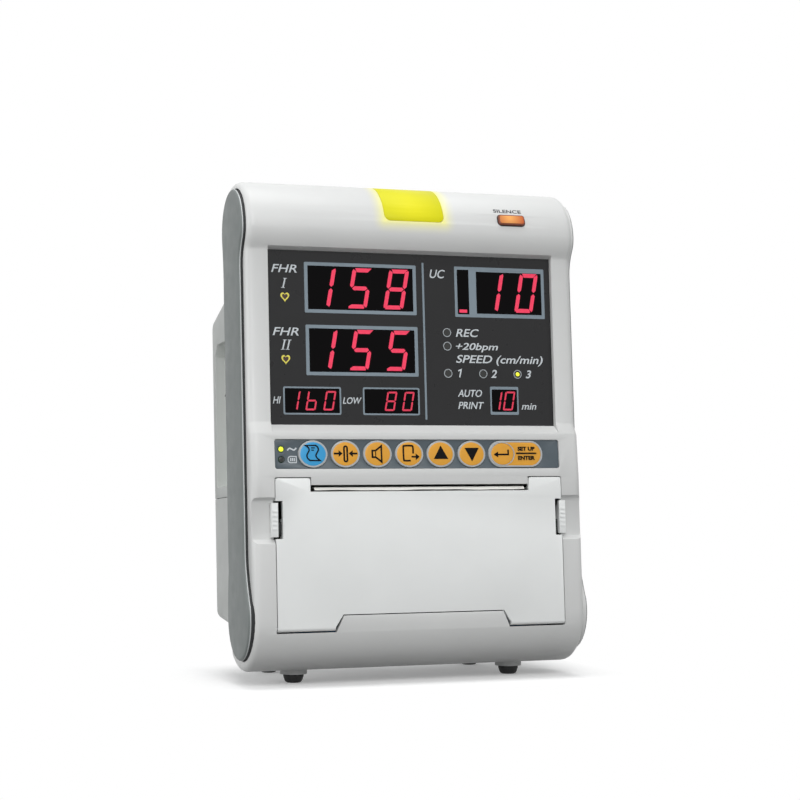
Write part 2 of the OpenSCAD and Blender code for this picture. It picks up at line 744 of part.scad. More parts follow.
module paper_door() {
    color(DOOR) stand() difference() {
        union() {
            along_y(0, door_t) door_skin();
            both_sides() rod(roll_out, door_half, hinge_r, hinge_y, hinge_z);
            both_sides() block(cheek_x - 3.4, cheek_x - 1.8, door_t - 0.1, 8, lip_top + 1,
                door_mid_top - 13);
            for (z = [lip_top + 1, lip_top + 14, lip_top + 27, lip_top + 40])
                block(-cheek_x + 2, cheek_x - 2, door_t - 0.1, 6.5, z, z + 1.4);
            both_sides() along_x(cheek_x, cheek_x + cheek_t)
                polygon([[door_t - 0.2, platen_z - 13], [platen_y, platen_z - 7.5],
                    [platen_y + 4.8, platen_z - 4.5], [platen_y + 5.3, platen_z],
                    [platen_y + 4.2, platen_z + 4.5], [platen_y, platen_z + 6.6],
                    [door_t - 0.2, platen_z + 7.4]]);
            both_sides() for (z = [slide_z0 - 1.7, slide_z0 + slide_h + 0.3])
                block(slide_in, latch_in - latch_gap, door_t - 0.1, door_t + 2.6, z, z + 1.4);
        }
        both_sides() rod(cheek_x - 1, cheek_x + cheek_t + 1, shaft_r + 1.6, platen_y, platen_z);
        both_sides() rod(face_half - pin_len / 2 - 0.5, half_w, pin_r + run, hinge_y, hinge_z);
    }
}

// The latch: a thumb tab with ridges, a web behind the skin, and a guided slide
module latch() {
    block(latch_in, latch_out, 0.1, 2.5, latch_z0, latch_z0 + latch_h);
    for (i = [0 : 4]) block(latch_in + 0.4, latch_out - 0.4, -0.2, 0.2,
        latch_z0 + 3.4 + 2.1 * i, latch_z0 + 4.4 + 2.1 * i);
    block(latch_in, door_half - 0.1, 2.4, door_t + 2.4, slide_z0, latch_z0 + latch_h - 2);
    block(slide_in + latch_travel + 0.4, latch_in + 0.1, door_t + 0.3, door_t + 2.4, slide_z0,
        slide_z0 + slide_h);
}

module left_latch() {
    color(DOOR) stand() mirror([1, 0, 0]) latch();
}

module right_latch() {
    color(DOOR) stand() latch();
}

module door_hinge_pins() {
    color(STEEL) stand() both_sides()
        rod(face_half - pin_len / 2, face_half + pin_len / 2, pin_r, hinge_y, hinge_z);
}

module platen_roller() {
    color([0.1, 0.1, 0.1]) stand() difference() {
        rod(-platen_half, platen_half, platen_r, platen_y, platen_z);
        rod(-platen_half - 1, platen_half + 1, shaft_r, platen_y, platen_z);
    }
}

module platen_shaft() {
    color(STEEL) stand()
        rod(-frame_x - sheet_t - 1, gear_x + gear_w + 0.6, shaft_r, platen_y, platen_z);
}

module platen_bushes() {
    color([0.75, 0.6, 0.3]) stand() both_sides() difference() {
        rod(cheek_x, cheek_x + cheek_t, shaft_r + 1.6, platen_y, platen_z);
        rod(cheek_x - 1, cheek_x + cheek_t + 1, shaft_r + run, platen_y, platen_z);
    }
}

// Points of an involute tooth flank, from the root up to the tip
function involute(rb, a) =
    let (t = a * PI / 180) [rb * (cos(a) + t * sin(a)), rb * (sin(a) - t * cos(a))];
function turned(p, a) = [p[0] * cos(a) - p[1] * sin(a), p[0] * sin(a) + p[1] * cos(a)];
function flipped(p) = [p[0], -p[1]];

module gear(m, teeth, backlash = 0.12) {
    rp = m * teeth / 2;
    rb = rp * cos(20);
    ro = rp + m;
    rr = rp - 1.25 * m;
    inv20 = (tan(20) - 20 * PI / 180) * 180 / PI;
    half = 90 / teeth + inv20 - backlash / (2 * rp) * 180 / PI;
    amax = sqrt(pow(ro / rb, 2) - 1) * 180 / PI;
    flank = [for (i = [0 : 5]) turned(involute(rb, amax * i / 5), -half)];
    root = turned([rr, 0], -half);
    tooth = concat([root], rr < rb ? flank : [for (p = flank) if (norm(p) > rr) p]);
    pts = [for (k = [0 : teeth - 1]) for (p = concat(tooth, reversed([for (q = tooth) flipped(q)])))
        turned(p, 360 * k / teeth)];
    polygon(pts);
}

// Turns a gear's drawing, whose X lies along +Y, onto its shaft at (y, z)
module gear_at(x, y, z, turn) {
    translate([x, y, z]) rotate([90, 0, 90]) rotate([0, 0, turn]) children();
}

mesh_a = atan2(idler_z - platen_z, idler_y - platen_y);

module platen_gear() {
    color(PLASTIC) stand() gear_at(gear_x, platen_y, platen_z, mesh_a)
        linear_extrude(gear_w) difference() {
            gear(gear_m, platen_teeth);
            circle(shaft_r);
        }
}

idler_turn = mesh_a + 180 + 180 / idler_teeth;

module idler_gear() {
    color(PLASTIC) stand() gear_at(gear_x, idler_y, idler_z, idler_turn) difference() {
        linear_extrude(gear_w) gear(gear_m, idler_teeth);
        translate([0, 0, -1]) cylinder(r = 1.5 + run, h = gear_w + 2);
        for (z = [-1, gear_w - 0.9]) translate([0, 0, z]) difference() {
            cylinder(r = idler_gr - 2.6, h = 1.9);
            translate([0, 0, -1]) cylinder(r = 3.6, h = 4);
        }
    }
}

module idler_pin() {
    color(STEEL) stand() {
        rod(frame_x, gear_x + gear_w + 0.8, 1.5, idler_y, idler_z);
        rod(frame_x + sheet_t, gear_x - 0.2, 2.6, idler_y, idler_z);
        rod(gear_x + gear_w + 0.1, gear_x + gear_w + 0.8, 2.6, idler_y, idler_z);
    }
}

// A tooth of the pinion faces a gap of the idler along the line of their centres
gap_turn = (pinion_a - idler_turn) * idler_teeth / pinion_teeth;
pinion_turn = pinion_a + 180 + gap_turn + 180 / pinion_teeth;

module motor_pinion() {
    color([0.8, 0.7, 0.4]) stand() {
        gear_at(gear_x, pinion_y, pinion_z, pinion_turn)
            linear_extrude(gear_w) gear(gear_m, pinion_teeth);
        rod(gear_x + gear_w - 0.1, motor_x + 2.8, 1, pinion_y, pinion_z);
    }
}

module step_motor() {
    color([0.55, 0.56, 0.58]) stand() {
        difference() {
            rod(motor_x, motor_x + motor_t, motor_r, pinion_y, pinion_z);
            rod(motor_x - 1, motor_x + 3, 1 + run, pinion_y, pinion_z);
        }
        difference() {
            rod(motor_x - sheet_t - 0.3, motor_x + 0.1, 3.4, pinion_y, pinion_z);
            rod(motor_x - 3, motor_x + 1, 1 + run, pinion_y, pinion_z);
        }
    }
}

module bracket_outline(grow) {
    translate([pinion_y, pinion_z]) circle(motor_r + grow);
    polygon([[pinion_y - 12, pinion_z], [idler_y - 6, idler_z + 3], [idler_y - 2, idler_z + 8],
        [idler_y + 8, idler_z + 8], [pinion_y + 12, pinion_z]]);
}

bracket_posts = [[idler_y + 3, idler_z + 15.6], [pinion_y + 17, pinion_z - 2]];

module motor_bracket() {
    color(STEEL) stand() {
        difference() {
            union() {
                along_x(motor_x - sheet_t, motor_x) bracket_outline(1);
                for (p = bracket_posts) {
                    rod(frame_x + sheet_t, motor_x, 2.4, p[0], p[1]);
                    along_x(motor_x - sheet_t, motor_x) polygon([
                        [p[0] - 2.4, p[1]], [p[0] + 2.4, p[1]],
                        [pinion_y + 8, pinion_z + 2], [pinion_y - 2, pinion_z + 2]]);
                }
            }
            rod(motor_x - 3, motor_x + 1, 3.5, pinion_y, pinion_z);
        }
    }
}

frame_back = bar_y + sheet_t;

module frame_cheek() {
    difference() {
        along_x(frame_x, frame_x + sheet_t)
            polygon([[15, frame_low - sheet_t], [58, frame_low - sheet_t], [58, roll_z + 22],
                [bracket_posts[1][0] + 4, pinion_z + 8], [frame_back + 4, platen_z + 3],
                [frame_back + 4, platen_z + 16], [13, platen_z + 16], [9, platen_z + 9],
                [9, platen_z - 9], [14, platen_z - 16]]);
        along_x(frame_x - 1, frame_x + 3) polygon([[0, platen_z - shaft_r - 0.8],
            [platen_y + 1, platen_z - shaft_r - 0.8], [platen_y + shaft_r + 1, platen_z],
            [platen_y + 1, platen_z + shaft_r + 1.6], [0, platen_z + shaft_r + 1.6]]);
        rod(frame_x - 1, frame_x + 3, trunnion_r + run, roll_y, roll_z);
        along_x(frame_x - 1, frame_x + 3) polygon([[0, roll_z - trunnion_r - run],
            [roll_y, roll_z - trunnion_r - run], [roll_y, roll_z + trunnion_r + run],
            [0, roll_z + trunnion_r + run]]);
        rod(frame_x - 1, frame_x + 3, 1.5, head_pin_y, head_pin_z);
    }
}

module printer_frame() {
    color(STEEL) stand() difference() {
        union() {
            both_sides() frame_cheek();
            block(-frame_x - 0.1, frame_x + 0.1, bar_y, frame_back, platen_z - 4, platen_z + 8);
            both_sides() block(frame_x, frame_x + 11, 15, 37, frame_low - sheet_t, frame_low);
            block(-frame_x - 0.1, frame_x + 0.1, 15, 52, frame_low - sheet_t, frame_low);
        }
        rod(frame_x - 1, frame_x + 3, 1.5, idler_y, idler_z);
        both_sides() for (y = frame_post_y) translate([frame_post_x, y, frame_low - 3])
            cylinder(r = 1.4, h = 6);
    }
}

module frame_screws() {
    color(STEEL) stand() both_sides() for (y = frame_post_y)
        translate([frame_post_x, y, frame_low]) {
            translate([0, 0, -7]) cylinder(r = 1.2, h = 7);
            cylinder(r = 2.4, h = 1.6);
        }
}

module print_head() {
    color([0.7, 0.71, 0.73]) stand() difference() {
        union() {
            block(-platen_half, platen_half, head_y, head_y + 2, head_z0 + 2, head_z0 + head_h);
            block(-platen_half, platen_half, head_y + 2, head_y + 4, head_z0, head_z0 + head_h);
            for (z = [2, 5.4, 8.8, 12.2]) block(-platen_half + 2, platen_half - 2, head_y + 3.9,
                head_y + head_t, head_z0 + z, head_z0 + z + 1.4);
            both_sides() {
                block(platen_half - 8, platen_half - 4, head_y + 1.2, head_y + 6, head_pin_z,
                    head_z0 + 1);
                rod(platen_half - 8, platen_half - 4, 2.6, head_pin_y, head_pin_z);
            }
        }
        rod(-half_w, half_w, 1.5 + run, head_pin_y, head_pin_z);
    }
}

module head_pivot_pin() {
    color(STEEL) stand() rod(-frame_x - sheet_t, frame_x + sheet_t, 1.5, head_pin_y, head_pin_z);
}

module head_springs() {
    color(STEEL) stand() both_sides() difference() {
        rod_y(head_y + head_t + 0.7, bar_y, 3, 30, platen_z + 1);
        rod_y(head_y + head_t, bar_y + 1, 2.2, 30, platen_z + 1);
    }
}

module paper_roll() {
    color(PAPER) stand() difference() {
        rod(-paper_w / 2, paper_w / 2, roll_r, roll_y, roll_z);
        rod(-paper_w, paper_w, spindle_r, roll_y, roll_z);
    }
}

module roll_spindle() {
    color(PLASTIC) stand() {
        rod(-paper_w / 2 - 1, paper_w / 2 + 1, spindle_r, roll_y, roll_z);
        rod(-frame_x - sheet_t - 0.6, frame_x + sheet_t + 0.6, trunnion_r, roll_y, roll_z);
    }
}

// The paper's way: off the roll, up between head and platen, and out of the slot
web_t = 0.12;
web_lift = 0.9;
web_line = concat([[roll_y - roll_r - 0.1, roll_z + 2], [head_y - 0.25, platen_z - 8]],
    [for (a = [0 : 10 : 90]) let (r = head_y - 0.22 - platen_y + web_lift * a / 90)
        [platen_y + r * cos(a), platen_z + r * sin(a)]],
    [[2, platen_z + platen_r + 1.1], [0.1, platen_z + platen_r + 1.05]]);

module paper_web() {
    ahead = [for (i = [0 : len(web_line) - 1]) let (j = max(i, 1), t = side_of(web_line[j - 1],
        web_line[j])) web_line[i] + web_t * t];
    color(PAPER) stand() along_x(-paper_w / 2, paper_w / 2)
        polygon(concat(web_line, reversed(ahead)));
}

module paper_tray() {
    color([0.25, 0.26, 0.27]) stand() along_x(-frame_x + 0.3, frame_x - 0.3)
        polygon(concat(arc(roll_y, roll_z, tray_r + tray_t, 232, 380, 22),
            reversed(arc(roll_y, roll_z, tray_r, 232, 380, 22))));
}

// The back of the case seen from its side, and the housing behind it
back_top_a = acos((case_depth - 1 - top_y) / top_r);
back_low_a = acos((case_depth - 1 - low_y) / low_r);
back_front = case_depth - 14;
back_outline = concat(
    arc(top_y, top_z, top_r, -24, back_top_a, 11),
    [[back_front, top_z + top_r * sin(back_top_a)], [back_front, top_z - 20],
        [back_front, low_z + 24], [back_front, low_z - low_r * sin(back_low_a)]],
    arc(low_y, low_z, low_r, -back_low_a, 24, 11),
    [[neck_back, low_z + 22], [neck_back, top_z - 18]],
    bend([neck_back, top_z - 18], [neck_back + 0.1, top_z - 13],
        [top_y + top_r * cos(24) - 0.2, top_z - top_r * sin(24) - 0.5], 3));
housing_outline = concat(
    [[case_depth - 5, roof_z0 + 4.4], [case_depth - 5, floor_z0 - 1.8]],
    arc(rear_depth - 5.6, floor_z1 + 5, 5, 283, 358, 5),
    arc(rear_depth - 7, roof_z1 - 6, 7, 2, 66, 6));

module housing_bar(outline, half, r) {
    difference() {
        rounded_bar(outline, half, r, 4);
        block(-half - 1, half + 1, -5, back_y, 0, top_z + 40);
    }
}

module rear_solid() {
    housing_bar(back_outline, cover_half, 3);
    housing_bar(housing_outline, rear_half, 4);
}

module rear_hollow() {
    along_x(-cover_half + wall, cover_half - wall) intersection() {
        polygon(inset(back_outline, wall));
        translate([back_y - 20, 0]) square([30, top_z + 40]);
    }
    along_x(-rear_half + wall, rear_half - wall) polygon(inset(housing_outline, wall));
}

// The bosses for the four screws that hold the case together, and their holes
module case_screw_bosses() {
    both_sides() for (z = case_screw_z) rod_y(back_y - 1, neck_back, 4.2, case_screw_x, z);
}

module case_screw_holes() {
    both_sides() for (z = case_screw_z) {
        rod_y(back_y - 1, rear_depth, 1.7, case_screw_x, z);
        rod_y(screw_seat, rear_depth, 3.2, case_screw_x, z);
    }
}

// The hollows on both sides where the sockets and the switch sit
module plug_recess(grow) {
    both_sides() along_x(recess_x - grow, rear_half + 0.1)
        polygon([[recess_y0 - grow, recess_z0 - grow], [recess_y1 + grow, recess_z0 - grow],
            [recess_y1 + grow, recess_z1 + grow - 6], [recess_y1 + grow - 5, recess_z1 + grow],
            [recess_y0 - grow, recess_z1 + grow]]);
}

speaker_x = 46;
speaker_z = 148;
speaker_r = 16;
inlet_x = 44;
inlet_z = 62;
stud_x = 8;
stud_cup = 6;
lift = 0.15;
rocker_y = socket_y;
rocker_z = recess_z0 + 53;
data_y = socket_y;
data_z = recess_z0 + 14;
board_post_y = rear_depth - 15;
board_posts = [for (x = [-55, 55], z = [seam_z + 12, seam_z + 80]) [x, z]];
power_post_y = rear_depth - 21;
power_posts = [for (x = [-68, 68], z = [44, 84]) [x, z]];

module vents() {
    for (i = [0 : 6])
        block(-50 + 9 * i - 1.6, -50 + 9 * i + 1.6, rear_depth - wall - 1, rear_depth + 1,
            seam_z + 40, seam_z + 66);
}

module speaker_grille() {
    for (i = [-3 : 3])
        block(speaker_x - 12 + abs(i) * 1.5, speaker_x + 12 - abs(i) * 1.5,
            rear_depth - wall - 1, rear_depth + 1, speaker_z + 4 * i - 1, speaker_z + 4 * i + 1);
}

module back_cover() {
    color(GREY) stand() difference() {
        rear_solid();
        difference() {
            rear_hollow();
            case_screw_bosses();
            plug_recess(wall);
            for (p = board_posts) rod_y(board_post_y, rear_depth, 3, p[0], p[1]);
            rod_y(rear_depth - wall - 3, rear_depth, speaker_r + 1.6, speaker_x, speaker_z);
        }
        block(-case_w, case_w, -5, rear_depth + 40, 0, seam_z + lift);
        plug_recess(0);
        for (z = socket_z) rod(recess_x - 10, recess_x + 1, 6, socket_y, z);
        block(-recess_x - 1, -recess_x + 10, rocker_y - 6.6, rocker_y + 6.6,
            rocker_z - 10.1, rocker_z + 10.1);
        block(-recess_x - 1, -recess_x + 10, data_y - 7.6, data_y + 7.6, data_z - 7.1, data_z + 7.1);
        vents();
        speaker_grille();
        rod_y(rear_depth - wall - 4, rear_depth - wall, speaker_r, speaker_x, speaker_z);
        for (p = board_posts) rod_y(board_post_y - 1, board_post_y + 8, 1, p[0], p[1]);
        case_screw_holes();
    }
}

module leg(x) {
    intersection() {
        to_table() translate([x, rear_foot_y, rubber_h])
            cylinder(r1 = rubber_r + 1.25, r2 = rubber_r + 3.4, h = rear_foot_z + 10 - rubber_h);
        stand() block(-half_w, half_w, 0, rear_depth - 0.6, -20, floor_z1 + 4);
    }
}

module lower_rear_cover() {
    color(GREY) {
        stand() difference() {
            rear_solid();
            difference() {
                rear_hollow();
                case_screw_bosses();
                for (p = power_posts) rod_y(power_post_y, rear_depth, 3, p[0], p[1]);
                rod_y(rear_depth - stud_cup - wall, rear_depth, 10.5, stud_x, inlet_z);
            }
            block(-case_w, case_w, -5, rear_depth + 40, seam_z - lift, top_z + 40);
            along_y(rear_depth - 10, rear_depth + 5)
                translate([inlet_x - 13.7, inlet_z - 10.1]) square([27.4, 20.2]);
            rod_y(rear_depth - stud_cup, rear_depth + 5, 8, stud_x, inlet_z);
            rod_y(rear_depth - 20, rear_depth + 5, 3, stud_x, inlet_z);
            for (p = power_posts) rod_y(power_post_y - 1, power_post_y + 8, 1, p[0], p[1]);
            case_screw_holes();
        }
        difference() {
            for (x = [-leg_x, leg_x]) leg(x);
            stand() along_x(-rear_half + wall, rear_half - wall)
                polygon(inset(housing_outline, wall - 0.3));
        }
    }
}

module case_screws() {
    color(STEEL) stand() both_sides() for (z = case_screw_z) {
        rod_y(case_depth - 10, screw_seat, 1.4, case_screw_x, z);
        rod_y(screw_seat, screw_seat + 1.8, 2.9, case_screw_x, z);
    }
}

module main_board() {
    face = board_post_y - board_t;
    color(BOARD) stand() {
        difference() {
            block(-64, 64, face, board_post_y, seam_z + 6, seam_z + 86);
            for (p = board_posts) rod_y(face - 1, board_post_y + 1, 1.3, p[0], p[1]);
        }
        for (p = [[-40, 30, 24], [0, 40, 18], [30, 26, 14], [-10, 64, 12]])
            block(p[0], p[0] + p[2], face - 3, face + 0.1, seam_z + p[1], seam_z + p[1] + p[2]);
        block(-12, 12, face - 6, face + 0.1, seam_z + 78, seam_z + 84);
    }
}

module power_supply() {
    face = power_post_y - board_t;
    color([0.2, 0.4, 0.3]) stand() {
        difference() {
            block(-72, 72, face, power_post_y, 38, 90);
            for (p = power_posts) rod_y(face - 1, power_post_y + 1, 1.3, p[0], p[1]);
        }
        block(-58, -28, power_post_y - 0.1, power_post_y + 17, 48, 78);
        rod_y(power_post_y - 0.1, power_post_y + 16, 7, -16, 80);
        rod_y(power_post_y - 0.1, power_post_y + 12, 5, -14, 48);
        block(-50, -26, face - 4, face + 0.1, 81, 88);
    }
}

// The flat cable that joins the display board to the main board
module ribbon_cable() {
    y0 = board_y + board_t;
    y1 = board_post_y - board_t - 6;
    z = seam_z + 81;
    line = concat([[y0 + 6, z]], bend([y0 + 6, z], [(y0 + y1) / 2, z - 16], [y1, z], 8));
    color([0.7, 0.7, 0.72]) stand() {
        block(-12, 12, y0, y0 + 6.1, z - 3, z + 3);
        along_x(-11, 11) polygon(concat(line, reversed([for (p = line) p + [0, 1]])));
    }
}

// Two rows of three cells in one sleeve
module battery_pack() {
    cell_r = 8.5;
    z = low_z - 10;
    y = [low_y - 8.7, low_y + 8.6];
    color([0.2, 0.35, 0.6]) stand() difference() {
        union() {
            for (i = [0 : 1]) rod(-64, 64, cell_r, y[i], z);
            block(-64, 64, y[0], y[1], z - cell_r, z + cell_r);
        }
        for (x = [-21.5, 21.5], i = [0 : 1]) difference() {
            rod(x - 0.5, x + 0.5, cell_r + 1, y[i], z);
            rod(x - 1, x + 1, cell_r - 0.6, y[i], z);
        }
    }
}

module speaker() {
    color([0.15, 0.15, 0.15]) stand() {
        rod_y(rear_depth - wall - 3, rear_depth - wall, speaker_r - 0.2, speaker_x, speaker_z);
        rod_y(rear_depth - wall - 9, rear_depth - wall - 2.9, 9.5, speaker_x, speaker_z);
    }
}

module transducer_sockets() {
    color([0.3, 0.32, 0.34]) stand() for (z = socket_z) difference() {
        union() {
            rod(recess_x, recess_x + 2.4, 8, socket_y, z);
            rod(recess_x - socket_depth, recess_x + 0.1, 5.9, socket_y, z);
        }
        rod(recess_x + 2.4 - socket_depth, recess_x + 4, socket_r, socket_y, z);
    }
}

module data_socket() {
    color(DARK) stand() difference() {
        union() {
            block(-recess_x - 0.1, -recess_x + 9, data_y - 7.4, data_y + 7.4,
                data_z - 6.9, data_z + 6.9);
            block(-recess_x - 1, -recess_x, data_y - 8.6, data_y + 8.6, data_z - 8, data_z + 8);
        }
        block(-recess_x - 2, -recess_x + 8, data_y - 5.8, data_y + 5.8, data_z - 3.4, data_z + 5);
        block(-recess_x - 2, -recess_x + 8, data_y - 2, data_y + 2, data_z - 5.6, data_z - 3.3);
    }
}

module mains_inlet() {
    color(DARK) stand() {
        difference() {
            union() {
                along_y(rear_depth - 12, rear_depth + 0.1)
                    translate([inlet_x - 13.5, inlet_z - 9.9]) square([27, 19.8]);
                along_y(rear_depth, rear_depth + 1.6)
                    round_rect(inlet_x - 15.4, inlet_x + 15.4, inlet_z - 11.8, inlet_z + 11.8, 2);
            }
            along_y(rear_depth - 10, rear_depth + 3)
                polygon([[inlet_x - 12, inlet_z - 8.2], [inlet_x + 12, inlet_z - 8.2],
                    [inlet_x + 12, inlet_z + 4], [inlet_x + 8, inlet_z + 8.2],
                    [inlet_x - 8, inlet_z + 8.2], [inlet_x - 12, inlet_z + 4]]);
        }
        for (p = [[-7, 0], [0, 4], [7, 0]]) block(inlet_x + p[0] - 1, inlet_x + p[0] + 1,
            rear_depth - 10.1, rear_depth - 4, inlet_z + p[1] - 2, inlet_z + p[1] + 2);
    }
}

// The switch's own frame: its -Y points out of the left recess
module on_switch() {
    translate([-recess_x, rocker_y, rocker_z]) rotate([0, 0, -90]) children();
}

module power_switch_frame() {
    color(DARK) stand() on_switch() difference() {
        union() {
            along_y(-0.1, 9) translate([-6.5, -10]) square([13, 20]);
            along_y(-1.2, 0) round_rect(-7.6, 7.6, -11, 11, 1.5);
        }
        along_y(-3, 6.5) translate([-5, -9.1]) square([10, 18.2]);
        rod(-6.2, 6.2, 1, 1.2, 0);
    }
}

module power_rocker() {
    color([0.1, 0.1, 0.1]) stand() on_switch() {
        along_x(-4.7, 4.7)
            polygon([[-0.4, 7.4], [-1.2, 0], [-3.6, -7.4], [0.4, -7.6], [4, -3.4], [4, 3.4], [1, 7.6]]);
        rod(-5.9, 5.9, 0.95, 1.2, 0);
    }
}

module earth_stud() {
    floor_y = rear_depth - stud_cup;
    color([0.8, 0.68, 0.35]) stand() {
        rod_y(floor_y - wall - 6, floor_y + 13, 3, stud_x, inlet_z);
        rod_y(floor_y, floor_y + 2, 5, stud_x, inlet_z);
        rod_y(floor_y - wall - 3, floor_y - wall, 5, stud_x, inlet_z);
    }
}

module rubber_feet() {
    color([0.05, 0.05, 0.05]) to_table() for (s = [-1, 1])
        for (p = [[foot_x, front_foot_y], [leg_x, rear_foot_y]])
            translate([s * p[0], p[1], 0]) {
                cylinder(r1 = rubber_r - 1.4, r2 = rubber_r, h = rubber_h);
            }
}

front_shell();
left_side_trim();
right_side_trim();
alarm_lens();
alarm_lamp_board();
display_window();
display_board();
large_digit_modules();
small_digit_modules();
indicator_leds();
board_screws();
key_overlay();
key_board();
record_key();
zero_key();
volume_key();
feed_key();
up_key();
down_key();
enter_key();
silence_button();
silence_switch();
paper_door();
left_latch();
right_latch();
door_hinge_pins();
platen_roller();
platen_shaft();
platen_bushes();
platen_gear();
idler_gear();
idler_pin();
motor_pinion();
step_motor();
motor_bracket();
printer_frame();
frame_screws();
print_head();
head_pivot_pin();
head_springs();
paper_roll();
roll_spindle();
paper_web();
paper_tray();
back_cover();
lower_rear_cover();
case_screws();
main_board();
power_supply();
battery_pack();
speaker();
transducer_sockets();
data_socket();
mains_inlet();
power_switch_frame();
power_rocker();
earth_stud();
ribbon_cable();
rubber_feet();
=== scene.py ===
import math

import bmesh
import bpy
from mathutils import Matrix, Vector


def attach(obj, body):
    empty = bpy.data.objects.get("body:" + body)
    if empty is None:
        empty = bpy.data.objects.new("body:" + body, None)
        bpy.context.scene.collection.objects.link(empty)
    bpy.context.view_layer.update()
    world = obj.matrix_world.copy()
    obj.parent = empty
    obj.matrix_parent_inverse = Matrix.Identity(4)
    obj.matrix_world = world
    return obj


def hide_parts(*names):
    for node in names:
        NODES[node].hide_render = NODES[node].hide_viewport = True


# A desk-top fetal monitor: white moulded case, dark window with lit figures, a row of
# keys, and the printer's door. Lengths of the upright case are in millimetres.
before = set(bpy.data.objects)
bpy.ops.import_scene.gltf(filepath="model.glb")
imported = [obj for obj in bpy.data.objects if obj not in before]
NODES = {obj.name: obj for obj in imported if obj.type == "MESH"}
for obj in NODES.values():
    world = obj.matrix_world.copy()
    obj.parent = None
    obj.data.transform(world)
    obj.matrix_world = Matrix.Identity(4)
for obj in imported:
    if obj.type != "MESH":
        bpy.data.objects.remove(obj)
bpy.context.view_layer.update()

MM = 0.001
RECLINE = math.radians(4)
ORIGIN_Y, ORIGIN_Z = -49.8303, 0.0039
PANEL_Y = 7.0
STRIP_Y, STRIP_Z, STRIP_TILT = 0.221, 104.8, math.radians(2.87545)
STRIP_SINK, KEY_FACE = 0.65, 0.2
KEY_X0, KEY_PITCH, KEY_ZC = -55.3, 16.46, 7.2
TOP_Y, TOP_Z, TOP_R = 24.6, 222.8, 24.5
LENS_HALF = 15.6
# Where the shell's groove with its painted shade, the left trim's band of painted highlight and the
# painted shade on the latches' backs begin
GROOVE_X, TRIM_BAND, LATCH_BACK = 84.9, 87.1, 2.6
# The hollows at the sides: their floor, and the box that holds their faces, which get painted light
# against the shade in the hollows
HOLLOW_FLOOR = 77.0
HOLLOW_X, HOLLOW_Y, HOLLOW_Z = (76.5, 81.6), (43.5, 77.5), (94, 172)
# Where the button sits on the bulge, and how far below its top its edge of painted shade begins
BUTTON_Z, BUTTON_EDGE = 7.05, 0.15
WELD = 0.002


# Places on the leaning case

def place(x, y, z):
    """A point of the upright case, in millimetres, as a point of the leaning one in metres."""
    c, s = math.cos(RECLINE), math.sin(RECLINE)
    return Vector((x, y * c + z * s + ORIGIN_Y, z * c - y * s + ORIGIN_Z)) * MM


def depth(point):
    """How far back a point of the leaning case lies in the upright one, in millimetres."""
    c, s = math.cos(RECLINE), math.sin(RECLINE)
    return (point.y / MM - ORIGIN_Y) * c - (point.z / MM - ORIGIN_Z) * s


def on_panel(x, z, lift):
    """A point on the window's face."""
    return place(x, PANEL_Y - lift, z)


def on_strip(x, z, lift, sink=STRIP_SINK):
    """A point over the key strip, z up the strip from its lower edge."""
    c, s = math.cos(STRIP_TILT), math.sin(STRIP_TILT)
    y = sink - lift
    return place(x, STRIP_Y + y * c + z * s, STRIP_Z + z * c - y * s)


def on_key(x, z, lift):
    """A point over the keys' sunk faces."""
    return on_strip(x, z, lift, KEY_FACE)


def on_bulge(x, z, lift):
    """A point on the top bulge, z measured round it from its foremost line."""
    a = z / TOP_R
    r = TOP_R + lift
    return place(x, TOP_Y - r * math.cos(a), TOP_Z + r * math.sin(a))


def on_left(x, z, lift):
    """A point on the floor of the left hollow, x counted to the back."""
    return place(-HOLLOW_FLOOR - lift, x, z)


# Materials

def new_material(name):
    material = bpy.data.materials.new(name)
    material.use_nodes = True
    tree = material.node_tree
    return material, tree, tree.nodes["Principled BSDF"]


def noise(tree, size, detail=2.0):
    """Noise whose lumps are about size metres across."""
    where = tree.nodes.new("ShaderNodeTexCoord")
    node = tree.nodes.new("ShaderNodeTexNoise")
    node.inputs["Scale"].default_value = 1.0 / size
    node.inputs["Detail"].default_value = detail
    tree.links.new(where.outputs["Object"], node.inputs["Vector"])
    return node.outputs["Fac"]


def ranged(tree, value, low, high, at_low=0.3, at_high=0.7):
    node = tree.nodes.new("ShaderNodeMapRange")
    node.inputs["From Min"].default_value = at_low
    node.inputs["From Max"].default_value = at_high
    node.inputs["To Min"].default_value = low
    node.inputs["To Max"].default_value = high
    tree.links.new(value, node.inputs["Value"])
    return node.outputs["Result"]


def blended(tree, factor, first, second):
    node = tree.nodes.new("ShaderNodeMix")
    node.data_type = "RGBA"
    for socket, value in ((node.inputs["A"], first), (node.inputs["B"], second)):
        if isinstance(value, bpy.types.NodeSocket):
            tree.links.new(value, socket)
        else:
            socket.default_value = (*value, 1.0)
    tree.links.new(factor, node.inputs["Factor"])
    return node.outputs["Result"]


def linear(colour):
    """An sRGB colour, 0 to 255, as linear light."""
    def one(c):
        c = c / 255.0
        return c / 12.92 if c <= 0.04045 else ((c + 0.055) / 1.055) ** 2.4
    return tuple(one(c) for c in colour)


def shaded(colour, share):
    return tuple(min(1.0, c * share) for c in colour)


